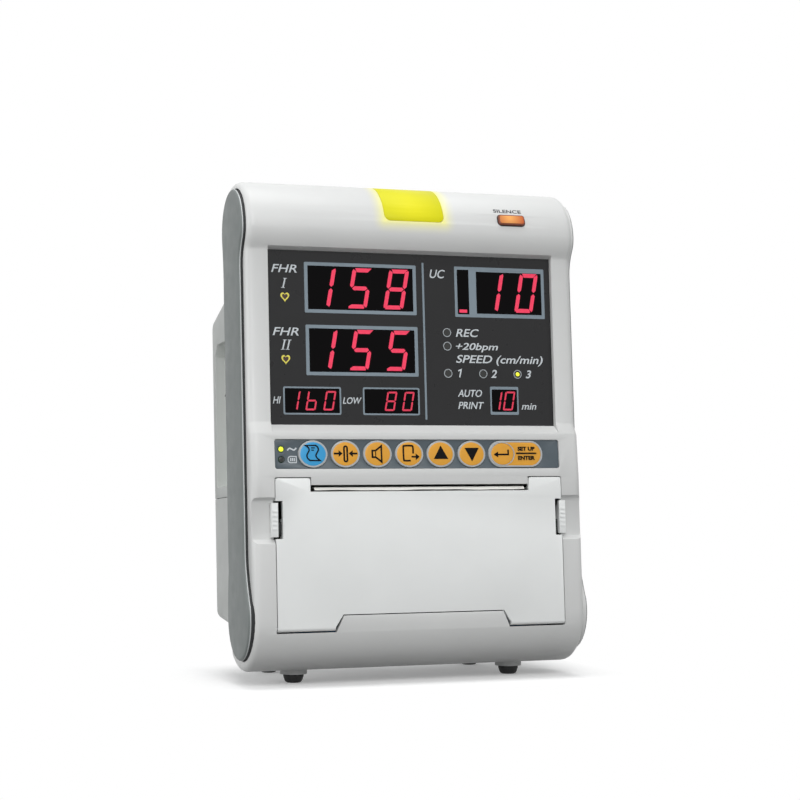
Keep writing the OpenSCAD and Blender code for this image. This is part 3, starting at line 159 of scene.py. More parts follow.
def finish(name, colour, rough, grain=0.0006, relief=0.00001, cloud=0.04, metal=0.0,
           coat=0.0, specular=0.5, patch=0.02):
    """Moulded plastic, rubber, metal or paper: grain in relief, faint clouds of tone and gloss."""
    material, tree, shader = new_material(name)
    base = linear(colour)
    tone = ranged(tree, noise(tree, patch, 3.0), 0.0, 1.0)
    mixed = blended(tree, tone, shaded(base, 1.0 - cloud), shaded(base, 1.0 + cloud))
    tree.links.new(mixed, shader.inputs["Base Color"])
    gloss = ranged(tree, noise(tree, patch * 0.4, 4.0), rough * 0.88, rough * 1.12)
    tree.links.new(gloss, shader.inputs["Roughness"])
    bump = tree.nodes.new("ShaderNodeBump")
    bump.inputs["Strength"].default_value = 0.5
    bump.inputs["Distance"].default_value = relief
    tree.links.new(noise(tree, grain, 2.0), bump.inputs["Height"])
    tree.links.new(bump.outputs["Normal"], shader.inputs["Normal"])
    shader.inputs["Metallic"].default_value = metal
    shader.inputs["Coat Weight"].default_value = coat
    shader.inputs["Coat Roughness"].default_value = 0.08
    shader.inputs["Specular IOR Level"].default_value = specular
    return material


def lit(name, colour, strength, spot=None, spot_size=0.01, glow=None, rough=0.3):
    """Something that gives light, brighter round a spot where one is given."""
    material, tree, shader = new_material(name)
    base = linear(colour)
    shader.inputs["Roughness"].default_value = rough
    shader.inputs["Emission Strength"].default_value = strength
    if spot is None:
        tone = ranged(tree, noise(tree, 0.0015), 0.0, 1.0)
        mixed = blended(tree, tone, shaded(base, 0.93), shaded(base, 1.07))
    else:
        where = tree.nodes.new("ShaderNodeTexCoord")
        away = tree.nodes.new("ShaderNodeVectorMath")
        away.operation = "DISTANCE"
        away.inputs[1].default_value = spot
        tree.links.new(where.outputs["Object"], away.inputs[0])
        near = ranged(tree, away.outputs["Value"], 1.0, 0.0, spot_size * 0.1, spot_size)
        mixed = blended(tree, near, base, linear(glow))
    tree.links.new(mixed, shader.inputs["Emission Color"])
    tree.links.new(mixed, shader.inputs["Base Color"])
    return material


def size_of(tree, value):
    node = tree.nodes.new("ShaderNodeMath")
    node.operation = "ABSOLUTE"
    tree.links.new(value, node.inputs[0])
    return node.outputs[0]


def beyond(tree, value, sign, edge):
    """How far a coordinate lies past an edge, or zero."""
    node = tree.nodes.new("ShaderNodeMath")
    node.operation = "MULTIPLY_ADD"
    node.use_clamp = True
    node.inputs[1].default_value = sign
    node.inputs[2].default_value = -edge
    tree.links.new(value, node.inputs[0])
    return node.outputs[0]


def both(tree, first, second):
    """The length of two distances at right angles."""
    pair = tree.nodes.new("ShaderNodeCombineXYZ")
    tree.links.new(first, pair.inputs[0])
    tree.links.new(second, pair.inputs[1])
    length = tree.nodes.new("ShaderNodeVectorMath")
    length.operation = "LENGTH"
    tree.links.new(pair.outputs[0], length.inputs[0])
    return length.outputs["Value"]


def case_white():
    """The case's satin plastic, with the lamp's yellow light round the lens painted into its colour."""
    material = finish("case_white", (212, 213, 212), 0.42, cloud=0.012, relief=0.000012)
    tree = material.node_tree
    shader = tree.nodes["Principled BSDF"]
    where = tree.nodes.new("ShaderNodeTexCoord")
    split = tree.nodes.new("ShaderNodeSeparateXYZ")
    tree.links.new(where.outputs["Object"], split.inputs[0])
    side = beyond(tree, size_of(tree, split.outputs["X"]), 1.0, LENS_HALF * MM)
    low_edge = place(0, TOP_Y - TOP_R, TOP_Z + 4.5)
    below = beyond(tree, split.outputs["Z"], -1.0, -low_edge.z)
    behind = beyond(tree, split.outputs["Y"], 1.0, place(0, TOP_Y + 5.9, TOP_Z + 23.7).y)
    near = ranged(tree, both(tree, both(tree, side, below), behind), 1.0, 0.0, 0.0, 0.0075)
    curve = tree.nodes.new("ShaderNodeMath")
    curve.operation = "POWER"
    curve.inputs[1].default_value = 2.0
    tree.links.new(near, curve.inputs[0])
    plain = shader.inputs["Base Color"].links[0].from_socket
    tree.links.new(blended(tree, curve.outputs[0], plain, linear((244, 240, 150))),
                   shader.inputs["Base Color"])
    return material


WHITE = case_white()
DOOR = finish("door_white", (236, 238, 237), 0.4, cloud=0.012, relief=0.00001)
TRIM = finish("trim_grey", (112, 118, 117), 0.5, grain=0.0005, relief=0.000018, cloud=0.03)
TRIM_EDGE_HIGHLIGHT = finish("trim_edge_painted_highlight", (186, 190, 190), 0.45, cloud=0.02)
REAR = finish("rear_grey", (180, 183, 181), 0.5, grain=0.0007, relief=0.000022, cloud=0.025)
REAR_PAINTED_LIGHT = finish("rear_painted_light", (217, 220, 217), 0.5, grain=0.0007, relief=0.000022, cloud=0.025)
DARK_WINDOW = finish("window_dark", (42, 42, 43), 0.3, grain=0.002, relief=0.000003, cloud=0.02,
                     specular=0.2)
BLACK_GLASS = finish("figure_window", (4, 3, 4), 0.2, grain=0.002, relief=0.000002, cloud=0.1,
                     specular=0.06)
FRAME_GREY = finish("printed_frame", (126, 140, 150), 0.45, grain=0.0004, cloud=0.04)
INK_LIGHT = finish("printed_letters", (204, 210, 214), 0.5, grain=0.0004, cloud=0.03)
INK_MID = finish("printed_rings", (168, 174, 178), 0.5, grain=0.0004, cloud=0.03)
INK_DARK = finish("printed_icons", (9, 9, 10), 0.5, grain=0.0004, cloud=0.08, specular=0.1)
INK_GREY = finish("printed_grey", (74, 78, 82), 0.5, grain=0.0004, cloud=0.06)
INK_DIM = finish("printed_dim", (48, 51, 55), 0.5, grain=0.0004, cloud=0.06)
INK_YELLOW = finish("printed_yellow", (234, 222, 92), 0.45, grain=0.0004, cloud=0.04)
STRIP_GREY = finish("strip_grey", (76, 87, 94), 0.42, grain=0.0005, relief=0.000012, cloud=0.05)
KEY_RING = finish("key_ring", (176, 180, 181), 0.35, grain=0.0008, cloud=0.03)
KEY_ORANGE = finish("key_orange", (226, 160, 42), 0.38, grain=0.0006, cloud=0.05, coat=0.1)
KEY_BLUE = finish("key_blue", (46, 156, 212), 0.38, grain=0.0006, cloud=0.05, coat=0.1)
RUBBER = finish("rubber_black", (17, 17, 18), 0.6, grain=0.0005, relief=0.00003, cloud=0.12)
SHADOW = finish("shadow_gap", (34, 36, 37), 0.7, grain=0.0006, cloud=0.1)
BLACK = finish("black_plastic", (22, 22, 23), 0.42, grain=0.0006, relief=0.000015, cloud=0.1)
STEEL = finish("steel", (196, 198, 200), 0.3, grain=0.0003, relief=0.000004, metal=1.0, cloud=0.06)
DARK_STEEL = finish("motor_steel", (140, 143, 148), 0.42, grain=0.0004, metal=1.0, cloud=0.08)
BRASS = finish("brass", (206, 170, 96), 0.32, grain=0.0004, metal=1.0, cloud=0.07)
BRONZE = finish("bronze", (168, 118, 70), 0.4, grain=0.0004, metal=1.0, cloud=0.08)
ALUMINIUM = finish("aluminium", (188, 190, 194), 0.38, grain=0.0003, metal=1.0, cloud=0.05)
GEAR = finish("gear_plastic", (236, 232, 218), 0.45, grain=0.0006, cloud=0.03)
BOARD = finish("circuit_board", (26, 92, 56), 0.4, grain=0.001, relief=0.00002, cloud=0.12)
FIGURE = finish("figure_block", (30, 30, 33), 0.4, grain=0.0008, cloud=0.1)
TRAY = finish("tray_plastic", (62, 64, 66), 0.5, grain=0.0006, relief=0.00002, cloud=0.06)
SLEEVE = finish("battery_sleeve", (40, 82, 128), 0.35, grain=0.001, cloud=0.06)
PAPER = finish("chart_paper", (244, 243, 238), 0.6, grain=0.00025, cloud=0.01)
CABLE = finish("cable_grey", (150, 152, 156), 0.5, grain=0.0006, cloud=0.05)
SOCKET = finish("socket_plastic", (202, 204, 204), 0.42, grain=0.0006, cloud=0.03)
RED_LIT = lit("figure_lit", (208, 46, 78), 0.55)
# The button's slight glow, brighter round a spot at its upper left, is a painted highlight.
SILENCE = lit("silence_orange", (186, 80, 28), 0.08, spot=place(51.0, 0.6, 231.0), spot_size=0.008,
              glow=(238, 166, 88), rough=0.2)
SILENCE_EDGE_SHADE = finish("silence_edge_painted_shade", (116, 54, 26), 0.35, grain=0.0006, cloud=0.05)
DIM_LIT = lit("small_figure_lit", (196, 42, 70), 0.45)
LED_LIT = lit("indicator_lit", (232, 236, 50), 0.7)
LED_OFF = finish("indicator_dark", (34, 36, 34), 0.25, grain=0.001, cloud=0.1)
HEART_OFF = finish("heart_dark", (58, 34, 30), 0.35, grain=0.001, cloud=0.1)
LENS = lit("lens_lit", (198, 196, 0), 0.1, spot=place(0, 3.0, 235.0), spot_size=0.024,
           glow=(220, 214, 26), rough=0.45)
LENS.node_tree.nodes["Principled BSDF"].inputs["Specular IOR Level"].default_value = 0.2


# Meshes

def linked(name, mesh, material, body):
    piece = bpy.data.objects.new(name, mesh)
    bpy.context.scene.collection.objects.link(piece)
    if material is not None:
        mesh.materials.clear()
        mesh.materials.append(material)
    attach(piece, body)
    return piece


def applied(piece):
    """Turns a piece's modifiers into its mesh."""
    depsgraph = bpy.context.evaluated_depsgraph_get()
    mesh = bpy.data.meshes.new_from_object(piece.evaluated_get(depsgraph))
    piece.modifiers.clear()
    piece.data = mesh
    return piece


def dressed(node, material, body="root", edge=0.3, angle=35.0, steps=2):
    """A copy of a part with its flat facets joined, its edges rounded and its curves smooth."""
    mesh = NODES[node].data.copy()
    work = bmesh.new()
    work.from_mesh(mesh)
    bmesh.ops.remove_doubles(work, verts=work.verts, dist=WELD * MM)
    bmesh.ops.dissolve_limit(work, angle_limit=math.radians(0.6), verts=work.verts,
                             edges=work.edges)
    for face in work.faces:
        face.smooth = True
    work.to_mesh(mesh)
    work.free()
    piece = linked(node + "_look", mesh, material, body)
    if edge:
        bevel = piece.modifiers.new("round", "BEVEL")
        bevel.width = edge * MM
        bevel.segments = steps
        bevel.limit_method = "ANGLE"
        bevel.angle_limit = math.radians(angle)
        bevel.use_clamp_overlap = True
        bevel.harden_normals = True
    applied(piece)
    soften(piece.data, angle)
    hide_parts(node)
    return piece


def soften(mesh, angle):
    """Marks edges sharper than an angle, so that the rest shades smoothly."""
    work = bmesh.new()
    work.from_mesh(mesh)
    limit = math.radians(angle)
    for edge in work.edges:
        flat = len(edge.link_faces) == 2 and edge.calc_face_angle(0.0) < limit
        edge.smooth = flat
    for face in work.faces:
        face.smooth = True
    work.to_mesh(mesh)
    work.free()


def meshed(name, verts, faces, sharp, weld=False):
    """A mesh with its faces turned outwards and its sharp edges marked."""
    mesh = bpy.data.meshes.new(name)
    mesh.from_pydata(verts, [], faces)
    work = bmesh.new()
    work.from_mesh(mesh)
    if weld:
        bmesh.ops.remove_doubles(work, verts=work.verts, dist=1e-7)
    bmesh.ops.recalc_face_normals(work, faces=work.faces)
    work.to_mesh(mesh)
    work.free()
    soften(mesh, sharp)
    return mesh


def repainted(piece, material, chosen):
    """Gives another finish to the faces that a test picks."""
    piece.data.materials.append(material)
    for face in piece.data.polygons:
        if chosen(face):
            face.material_index = len(piece.data.materials) - 1


def cut_across(piece, x):
    """Parts a piece's faces along a plane across x, so that each side can have its own finish."""
    work = bmesh.new()
    work.from_mesh(piece.data)
    bmesh.ops.bisect_plane(work, geom=work.verts[:] + work.edges[:] + work.faces[:], dist=1e-7,
                           plane_co=(x * MM, 0, 0), plane_no=(1, 0, 0))
    work.to_mesh(piece.data)
    work.free()


def painted(node, material):
    """A part whose own mesh stays, with a finish on it."""
    mesh = NODES[node].data
    mesh.materials.clear()
    mesh.materials.append(material)


# Flat shapes, as points (x, z, layer) and faces. Layer 0 is the underside, 1 the top.

def slab(points):
    n = len(points)
    verts = [(x, z, 0) for x, z in points] + [(x, z, 1) for x, z in points]
    faces = [tuple(range(n - 1, -1, -1)), tuple(range(n, 2 * n))]
    faces += [(i, (i + 1) % n, n + (i + 1) % n, n + i) for i in range(n)]
    return verts, faces


def band(outer, inner):
    """A closed frame between two outlines with as many points."""
    n = len(outer)
    loops = [[(x, z, layer) for x, z in line] for layer in (0, 1) for line in (outer, inner)]
    verts = loops[0] + loops[1] + loops[2] + loops[3]
    faces = []
    for i in range(n):
        j = (i + 1) % n
        faces.append((i, n + i, n + j, j))
        faces.append((2 * n + i, 2 * n + j, 3 * n + j, 3 * n + i))
        faces.append((i, j, 2 * n + j, 2 * n + i))
        faces.append((n + i, 3 * n + i, 3 * n + j, n + j))
    return verts, faces


def oval(x, z, rx, rz, count=40):
    turns = [2 * math.pi * i / count for i in range(count)]
    return [(x + rx * math.cos(t), z + rz * math.sin(t)) for t in turns]


def rounded(x0, x1, z0, z1, r, count=5):
    """A rectangle with round corners."""
    points = []
    corners = ((x1 - r, z1 - r, 0), (x0 + r, z1 - r, 1), (x0 + r, z0 + r, 2), (x1 - r, z0 + r, 3))
    for x, z, quarter in corners:
        for i in range(count + 1):
            a = math.pi / 2 * (quarter + i / count)
            points.append((x + r * math.cos(a), z + r * math.sin(a)))
    return points


def framed(x0, x1, z0, z1, line, r):
    """A frame whose outer edge is given, with a line of one width."""
    inner = rounded(x0 + line, x1 - line, z0 + line, z1 - line, max(0.15, r - line * 0.5))
    return band(rounded(x0, x1, z0, z1, r), inner)


def beside(points, d, closed):
    """A line moved sideways by d, with mitred corners."""
    n = len(points)
    moved = []
    for i, p in enumerate(points):
        before = points[i - 1] if closed or i > 0 else None
        after = points[(i + 1) % n] if closed or i < n - 1 else None
        sides = []
        for a, b in ((before, p), (p, after)):
            if a is not None and b is not None:
                run = Vector((b[0] - a[0], b[1] - a[1])).normalized()
                sides.append(Vector((run.y, -run.x)))
        middle = sum(sides, Vector((0, 0))).normalized()
        reach = d / max(0.4, middle.dot(sides[0]))
        moved.append((p[0] + middle.x * reach, p[1] + middle.y * reach))
    return moved


def stroke(points, width, closed=False):
    """A drawn line of one width."""
    half = width / 2
    if closed:
        return band(beside(points, half, True), beside(points, -half, True))
    return slab(beside(points, half, False) + beside(points, -half, False)[::-1])


def curved(points, closed, steps=4):
    """A smooth line through points."""
    n = len(points)
    smooth = []
    for i in range(n if closed else n - 1):
        p = [Vector(points[(i + k) % n] if closed else points[min(max(i + k, 0), n - 1)])
             for k in (-1, 0, 1, 2)]
        for s in range(steps):
            t = s / steps
            smooth.append(tuple(0.5 * (2 * p[1] + (p[2] - p[0]) * t
                                       + (2 * p[0] - 5 * p[1] + 4 * p[2] - p[3]) * t ** 2
                                       + (3 * p[1] - p[0] - 3 * p[2] + p[3]) * t ** 3)))
    return smooth if closed else smooth + [tuple(points[-1])]


def words(text, x0, x1, z0, z1, slant=0.0, weight=0.012):
    """Letters that fill a rectangle, as one flat shape."""
    curve = bpy.data.curves.new("words", "FONT")
    curve.body = text
    curve.shear = slant
    curve.offset = weight
    curve.extrude = 0.5
    curve.resolution_u = 5
    holder = bpy.data.objects.new("words", curve)
    bpy.context.scene.collection.objects.link(holder)
    depsgraph = bpy.context.evaluated_depsgraph_get()
    mesh = bpy.data.meshes.new_from_object(holder.evaluated_get(depsgraph))
    bpy.data.objects.remove(holder)
    xs = [v.co.x for v in mesh.vertices]
    zs = [v.co.y for v in mesh.vertices]
    wide = (x1 - x0) / (max(xs) - min(xs))
    high = (z1 - z0) / (max(zs) - min(zs))
    verts = [(x0 + (v.co.x - min(xs)) * wide, z0 + (v.co.y - min(zs)) * high,
              1 if v.co.z > 0 else 0) for v in mesh.vertices]
    faces = [tuple(p.vertices) for p in mesh.polygons]
    bpy.data.meshes.remove(mesh)
    return verts, faces


def printed(name, shapes, material, surface, body="root", low=-0.02,
            high=0.06):
    """Flat shapes laid on a surface, as one piece."""
    verts, faces = [], []
    for points, polygons in shapes:
        start = len(verts)
        verts += [surface(x, z, high if layer else low) for x, z, layer in points]
        faces += [tuple(start + i for i in polygon) for polygon in polygons]
    return linked(name, meshed(name, verts, faces, 60.0, True), material, body)


def domed(name, outline, height, material, surface, body, rim=0.35, low=-0.02, crown=0.12):
    """A low cap on an outline, with a rounded rim and a slight crown."""
    centre = Vector((sum(x for x, z in outline), sum(z for x, z in outline))) / len(outline)
    rings = [(0.0, low)]
    for i in range(5):
        a = math.pi / 2 * i / 4
        rings.append((rim * (1 - math.cos(a)), height - rim + rim * math.sin(a)))
    rings += [(rim + 1.6, height + crown * 0.6), (rim + 3.4, height + crown)]
    verts, faces = [], []
    n = len(outline)
    for inset, lift in rings:
        for x, z in outline:
            p = Vector((x, z)) - centre
            share = max(0.02, 1 - inset / p.length)
            verts.append(surface(centre.x + p.x * share, centre.y + p.y * share, lift))
    for k in range(len(rings) - 1):
        for i in range(n):
            j = (i + 1) % n
            faces.append((k * n + i, k * n + j, (k + 1) * n + j, (k + 1) * n + i))
    faces.append(tuple(range(n - 1, -1, -1)))
    faces.append(tuple((len(rings) - 1) * n + i for i in range(n)))
    return linked(name, meshed(name, verts, faces, 50.0), material, body)


# The case and its covers

shell = dressed("front_shell", WHITE, edge=0.55, angle=32, steps=3)
# The floor of the groove along the trims gets painted shade.
repainted(shell, SHADOW, lambda face: abs(face.normal.x) > 0.9
          and abs(abs(face.center.x) / MM - GROOVE_X) < 0.2)
rear_cover = dressed("back_cover", REAR, edge=0.3, angle=32)
# The hollows' floor and walls get a paler copy of the grey: painted light against the shade in them.
repainted(rear_cover, REAR_PAINTED_LIGHT, lambda face: HOLLOW_X[0] < abs(face.center.x) / MM < HOLLOW_X[1]
          and HOLLOW_Y[0] < depth(face.center) < HOLLOW_Y[1]
          and HOLLOW_Z[0] < face.center.z / MM < HOLLOW_Z[1])
dressed("lower_rear_cover", REAR, edge=0.3, angle=32)
for side in ("left", "right"):
    trim = dressed(side + "_side_trim", TRIM, edge=0, angle=50)
    # The trims' front-facing faces: on the left a lighter copy of the grey, a painted highlight along
    # the edge; on the right the case's white.
    repainted(trim, TRIM_EDGE_HIGHLIGHT if side == "left" else WHITE, lambda face: abs(face.normal.x) < 0.55)
    if side == "left":
        # Behind the left trim's highlight band, its deeper part gets painted shade, a dark line against
        # the shell.
        cut_across(trim, -TRIM_BAND)
        repainted(trim, SHADOW, lambda face: abs(face.center.x) / MM < TRIM_BAND)
dressed("rubber_feet", RUBBER, edge=1.3, steps=4)
dressed("case_screws", STEEL, edge=0.2)

# The lens over the lamp, and the button beside it, whose edge gets painted shade, darker than its face
dressed("alarm_lens", LENS, edge=0.3)
button = dressed("silence_button", SILENCE, body="silence_button", edge=0.35)
button_way = (on_bulge(0, BUTTON_Z, 1.0) - on_bulge(0, BUTTON_Z, 0.0)).normalized()
button_top = max(v.co.dot(button_way) for v in button.data.vertices)
repainted(button, SILENCE_EDGE_SHADE, lambda face: face.center.dot(button_way) < button_top - BUTTON_EDGE * MM)
# A dark band round the button: painted shade of the gap between button and case.
gap_outer = rounded(44.55, 59.85, 3.8, 10.3, 2.4)
gap_inner = rounded(45.2, 59.2, 4.45, 9.65, 1.9)
printed("silence_gap", [band(gap_outer, gap_inner)], SHADOW, on_bulge,
        high=0.05)
printed("silence_word", [words("SILENCE", 43.4, 58.6, 11.4, 13.5, weight=0.017)], INK_DIM,
        on_bulge)


# The window and its figures

dressed("display_window", DARK_WINDOW, edge=0)

# Which bars of a figure are lit: top, two upper sides, middle, two lower sides, bottom
BARS = {"0": "abcdef", "1": "bc", "5": "acdfg", "6": "cdefg", "8": "abcdefg"}
LEAN = 0.19


def figure(digit, x0, z0, height, wide, thick):
    """The lit bars of one figure, leaning to the right."""
    gap = thick * 0.16
    half = thick / 2
    cut = thick * 0.55
    levels = {"d": half, "g": height / 2, "a": height - half}
    columns = {"e": (half, 0), "f": (half, 1), "c": (wide - half, 0), "b": (wide - half, 1)}
    shapes = []
    for bar in BARS[digit]:
        if bar in levels:
            z = levels[bar]
            a, b = half + gap, wide - half - gap
            outer = cut if bar != "g" else half
            up = half if bar != "d" else half * 0.96
            points = [(a, z), (a + outer, z - half), (b - outer, z - half), (b, z),
                      (b - outer, z + up), (a + outer, z + up)]
            if bar == "a":
                points = [(a + outer, z - half), (b - outer, z - half), (b + half * 0.6, z + half),
                          (a - half * 0.1, z + half)]
            elif bar == "d":
                points = [(a - half * 0.2, z - half), (b - half * 0.2, z - half), (b, z - half * 0.4),
                          (b - outer, z + half), (a + outer, z + half), (a - half * 0.4, z)]
        else:
            x, upper = columns[bar]
            out = half * 0.6 if bar in "bc" else -half * 0.6
            low = height / 2 + gap if upper else half * 0.5
            top = height - half * 0.5 if upper else height / 2 - gap
            points = [(x if upper else x + out, low), (x + half, low + half), (x + half, top - half),
                      (x + out if upper else x, top), (x - half, top - half), (x - half, low + half)]
        shapes.append(slab([(x0 + x + LEAN * z, z0 + z) for x, z in points]))
    return shapes


def figures(text, right, z0, height, pitch, wide, thick):
    """Figures that end with one whose foot starts at right."""
    shapes = []
    for i, digit in enumerate(reversed(text)):
        shapes += figure(digit, right - pitch * i, z0, height, wide, thick)
    return shapes


BIG, BIG_WIDE, BIG_THICK, BIG_PITCH = 20.0, 10.5, 2.0, 19.1
SMALL, SMALL_WIDE, SMALL_THICK = 9.5, 5.2, 0.85
lit_figures = figures("158", -15.4, 183.9, BIG, BIG_PITCH, BIG_WIDE, BIG_THICK)
lit_figures += figures("155", -15.2, 153.4, BIG, BIG_PITCH, BIG_WIDE, BIG_THICK)
lit_figures += figures("10", 55.0, 183.9, BIG, 18.9, 10.0, BIG_THICK)
lit_figures.append(slab(rounded(25.2, 29.4, 183.2, 184.8, 0.3, 2)))
printed("lit_figures", lit_figures, RED_LIT, on_panel, low=0.04, high=0.1)
dim_figures = figures("160", -47.6, 133.6, SMALL, 9.1, SMALL_WIDE, SMALL_THICK)
dim_figures += figures("80", -6.8, 133.6, SMALL, 9.1, SMALL_WIDE, SMALL_THICK)
dim_figures += figures("10", 47.2, 134.3, SMALL, 7.0, 5.4, SMALL_THICK)
printed("small_figures", dim_figures, DIM_LIT, on_panel, low=0.04, high=0.1)

# Black windows behind the figures: left, right, low, high
FIGURE_WINDOWS = [(-54.4, 0.7, 182.9, 204.6), (-54.1, 0.9, 152.2, 173.8), (24.2, 30.7, 182.2, 204.9),
                  (34.5, 70.3, 182.8, 204.2), (-66.9, -39.0, 132.3, 144.3), (-26.2, 1.9, 132.3, 144.3),
                  (41.4, 55.2, 133.4, 144.9)]
printed("figure_windows", [slab(rounded(*box, 0.6)) for box in FIGURE_WINDOWS], BLACK_GLASS,
        on_panel, high=0.04)

frames = [framed(-55.9, 2.3, 181.3, 206.2, 1.7, 0.5), framed(-55.7, 2.5, 150.7, 175.4, 1.7, 0.5),
          framed(-67.7, -38.2, 131.5, 145.1, 0.8, 0.9), framed(-27.0, 2.7, 131.5, 145.1, 0.8, 0.9)]
frames.append(band(rounded(40.6, 56.0, 132.1, 146.2, 0.6), rounded(41.4, 55.2, 133.5, 144.8, 0.6)))
# The frame round the bar and the two figures beside it: four sides and the post between
frames.append(band(rounded(22.9, 71.9, 181.0, 206.4, 0.5), rounded(24.3, 70.3, 182.4, 204.9, 0.5)))
frames.append(slab(rounded(30.6, 34.6, 182.3, 205.0, 0.1, 1)))
frames.append(slab(rounded(34.5, 70.4, 204.1, 205.0, 0.1, 1)))
frames.append(slab(rounded(34.5, 70.4, 182.3, 182.9, 0.1, 1)))
frames.append(slab(rounded(5.55, 6.55, 129.4, 207.7, 0.2, 2)))
printed("window_frames", frames, FRAME_GREY, on_panel, high=0.07)

ITALIC = 0.24
labels = [words("FHR", -72.6, -59.6, 200.7, 204.6, ITALIC, 0.008),
          words("FHR", -72.4, -59.2, 169.9, 173.8, ITALIC, 0.008),
          words("UC", 9.7, 17.9, 200.2, 204.5, ITALIC, 0.008),
          words("REC", 22.9, 35.4, 171.0, 175.0, ITALIC, 0.012),
          words("+20bpm", 22.7, 45.6, 163.4, 168.0, ITALIC, 0.012),
          words("SPEED (cm/min)", 22.7, 70.0, 156.7, 161.9, ITALIC, 0.012),
          stroke([(23.7, 153.9), (25.3, 154.5), (24.4, 150.7)], 0.7),
          words("2", 41.4, 44.6, 150.6, 154.7, ITALIC, 0.02),
          words("3", 60.4, 63.4, 150.6, 154.7, ITALIC, 0.02),
          words("AUTO", 23.1, 36.2, 140.9, 144.5, ITALIC, 0.012),
          words("PRINT", 23.2, 37.1, 134.9, 138.4, ITALIC, 0.012),
          words("min", 57.6, 65.7, 134.8, 138.0, ITALIC, 0.01),
          words("HI", -72.9, -68.9, 136.8, 140.2, ITALIC, 0.01),
          words("LOW", -37.4, -27.7, 136.9, 140.1, ITALIC, 0.01)]


def roman_one(x, z):
    """A leaning upright with serifs."""
    high, lean, half = 4.6, 1.15, 0.36
    stem = slab([(x - half - lean / 2, z - high / 2), (x + half - lean / 2, z - high / 2),
                 (x + half + lean / 2, z + high / 2), (x - half + lean / 2, z + high / 2)])
    feet = [slab(rounded(x + k * lean / 2 - 0.95, x + k * lean / 2 + 0.95,
                         z + k * high / 2 - 0.14, z + k * high / 2 + 0.14, 0.1, 2))
            for k in (-1, 1)]
    return [stem] + feet


labels += roman_one(-66.2, 195.5)
labels += roman_one(-66.9, 165.4) + roman_one(-64.5, 165.4)
LAMPS = [(18.2, 173.0), (18.2, 166.2), (18.3, 152.6), (37.2, 152.6), (55.9, 152.6)]
printed("window_words", labels, INK_LIGHT, on_panel)
printed("lamp_rings", [band(oval(x, z, 2.2, 2.2), oval(x, z, 1.82, 1.82)) for x, z in LAMPS],
        INK_MID, on_panel)


def heart(x, z, size):
    """The outline of a heart, size millimetres wide."""
    points = []
    for i in range(40):
        t = 2 * math.pi * i / 40
        points.append((x + size / 32 * 16 * math.sin(t) ** 3,
                       z + size / 28 * (13 * math.cos(t) - 5 * math.cos(2 * t)
                                        - 2 * math.cos(3 * t) - math.cos(4 * t))))
    return points


HEARTS = [(-65.9, 188.9), (-66.0, 158.4)]
printed("heart_outlines", [band(heart(x, z, 4.5), heart(x, z, 2.9)) for x, z in HEARTS],
        INK_YELLOW, on_panel)
printed("heart_lamps", [slab(heart(x, z, 3.1)) for x, z in HEARTS], HEART_OFF, on_panel,
        high=0.04)
printed("dark_lamps", [slab(oval(x, z, 1.8, 1.8)) for x, z in LAMPS[:4]], LED_OFF, on_panel,
        high=0.05)
domed("speed_lamp", oval(LAMPS[4][0], LAMPS[4][1], 1.0, 1.0, 24), 0.3, LED_LIT, on_panel, "root",
      rim=0.2, crown=0.05)
printed("speed_lamp_rim", [slab(oval(LAMPS[4][0], LAMPS[4][1], 1.8, 1.8))], LED_OFF, on_panel,
        high=0.04)


# The key strip

dressed("key_overlay", STRIP_GREY, edge=0.12)
LED_X = -71.1
domed("mains_lamp", oval(LED_X, 9.6, 1.2, 1.2, 24), 0.25, LED_LIT, on_strip, "root",
      rim=0.25)
domed("battery_lamp", oval(LED_X, 4.6, 1.35, 1.35, 24), 0.2, LED_OFF, on_strip, "root",
      rim=0.25)
wave = curved([(-68.0, 9.0), (-66.9, 10.0), (-65.7, 9.6), (-64.6, 9.2), (-63.4, 10.2)], False)
battery = [stroke(curved([(-65.0, 6.1), (-66.7, 6.1), (-67.6, 5.3), (-67.6, 3.9), (-66.7, 3.1),
                          (-65.0, 3.1)], False), 0.45),
           stroke([(-65.0, 6.1), (-63.6, 6.1), (-63.6, 3.1), (-65.0, 3.1)], 0.45)]
battery += [slab([(x - 0.28, 3.8), (x + 0.28, 3.8), (x + 0.28, 5.4), (x - 0.28, 5.4)])
            for x in (-66.4, -65.5, -64.6)]
printed("strip_marks", [stroke(wave, 0.7)] + battery, INK_LIGHT, on_strip)

MARK_LINE = 0.84


def key_mark(i, points, closed=False, width=MARK_LINE):
    """A line on the face of key i."""
    x0 = KEY_X0 + KEY_PITCH * i
    return stroke([(x0 + x, KEY_ZC + z) for x, z in points], width, closed)


def key_shape(i, points):
    x0 = KEY_X0 + KEY_PITCH * i
    return slab([(x0 + x, KEY_ZC + z) for x, z in points])


def arrow(i, x, z, reach, side):
    """A filled arrow's head, with its tip at x."""
    return key_shape(i, [(x - reach * side, z + 1.6), (x, z), (x - reach * side, z - 1.6)])


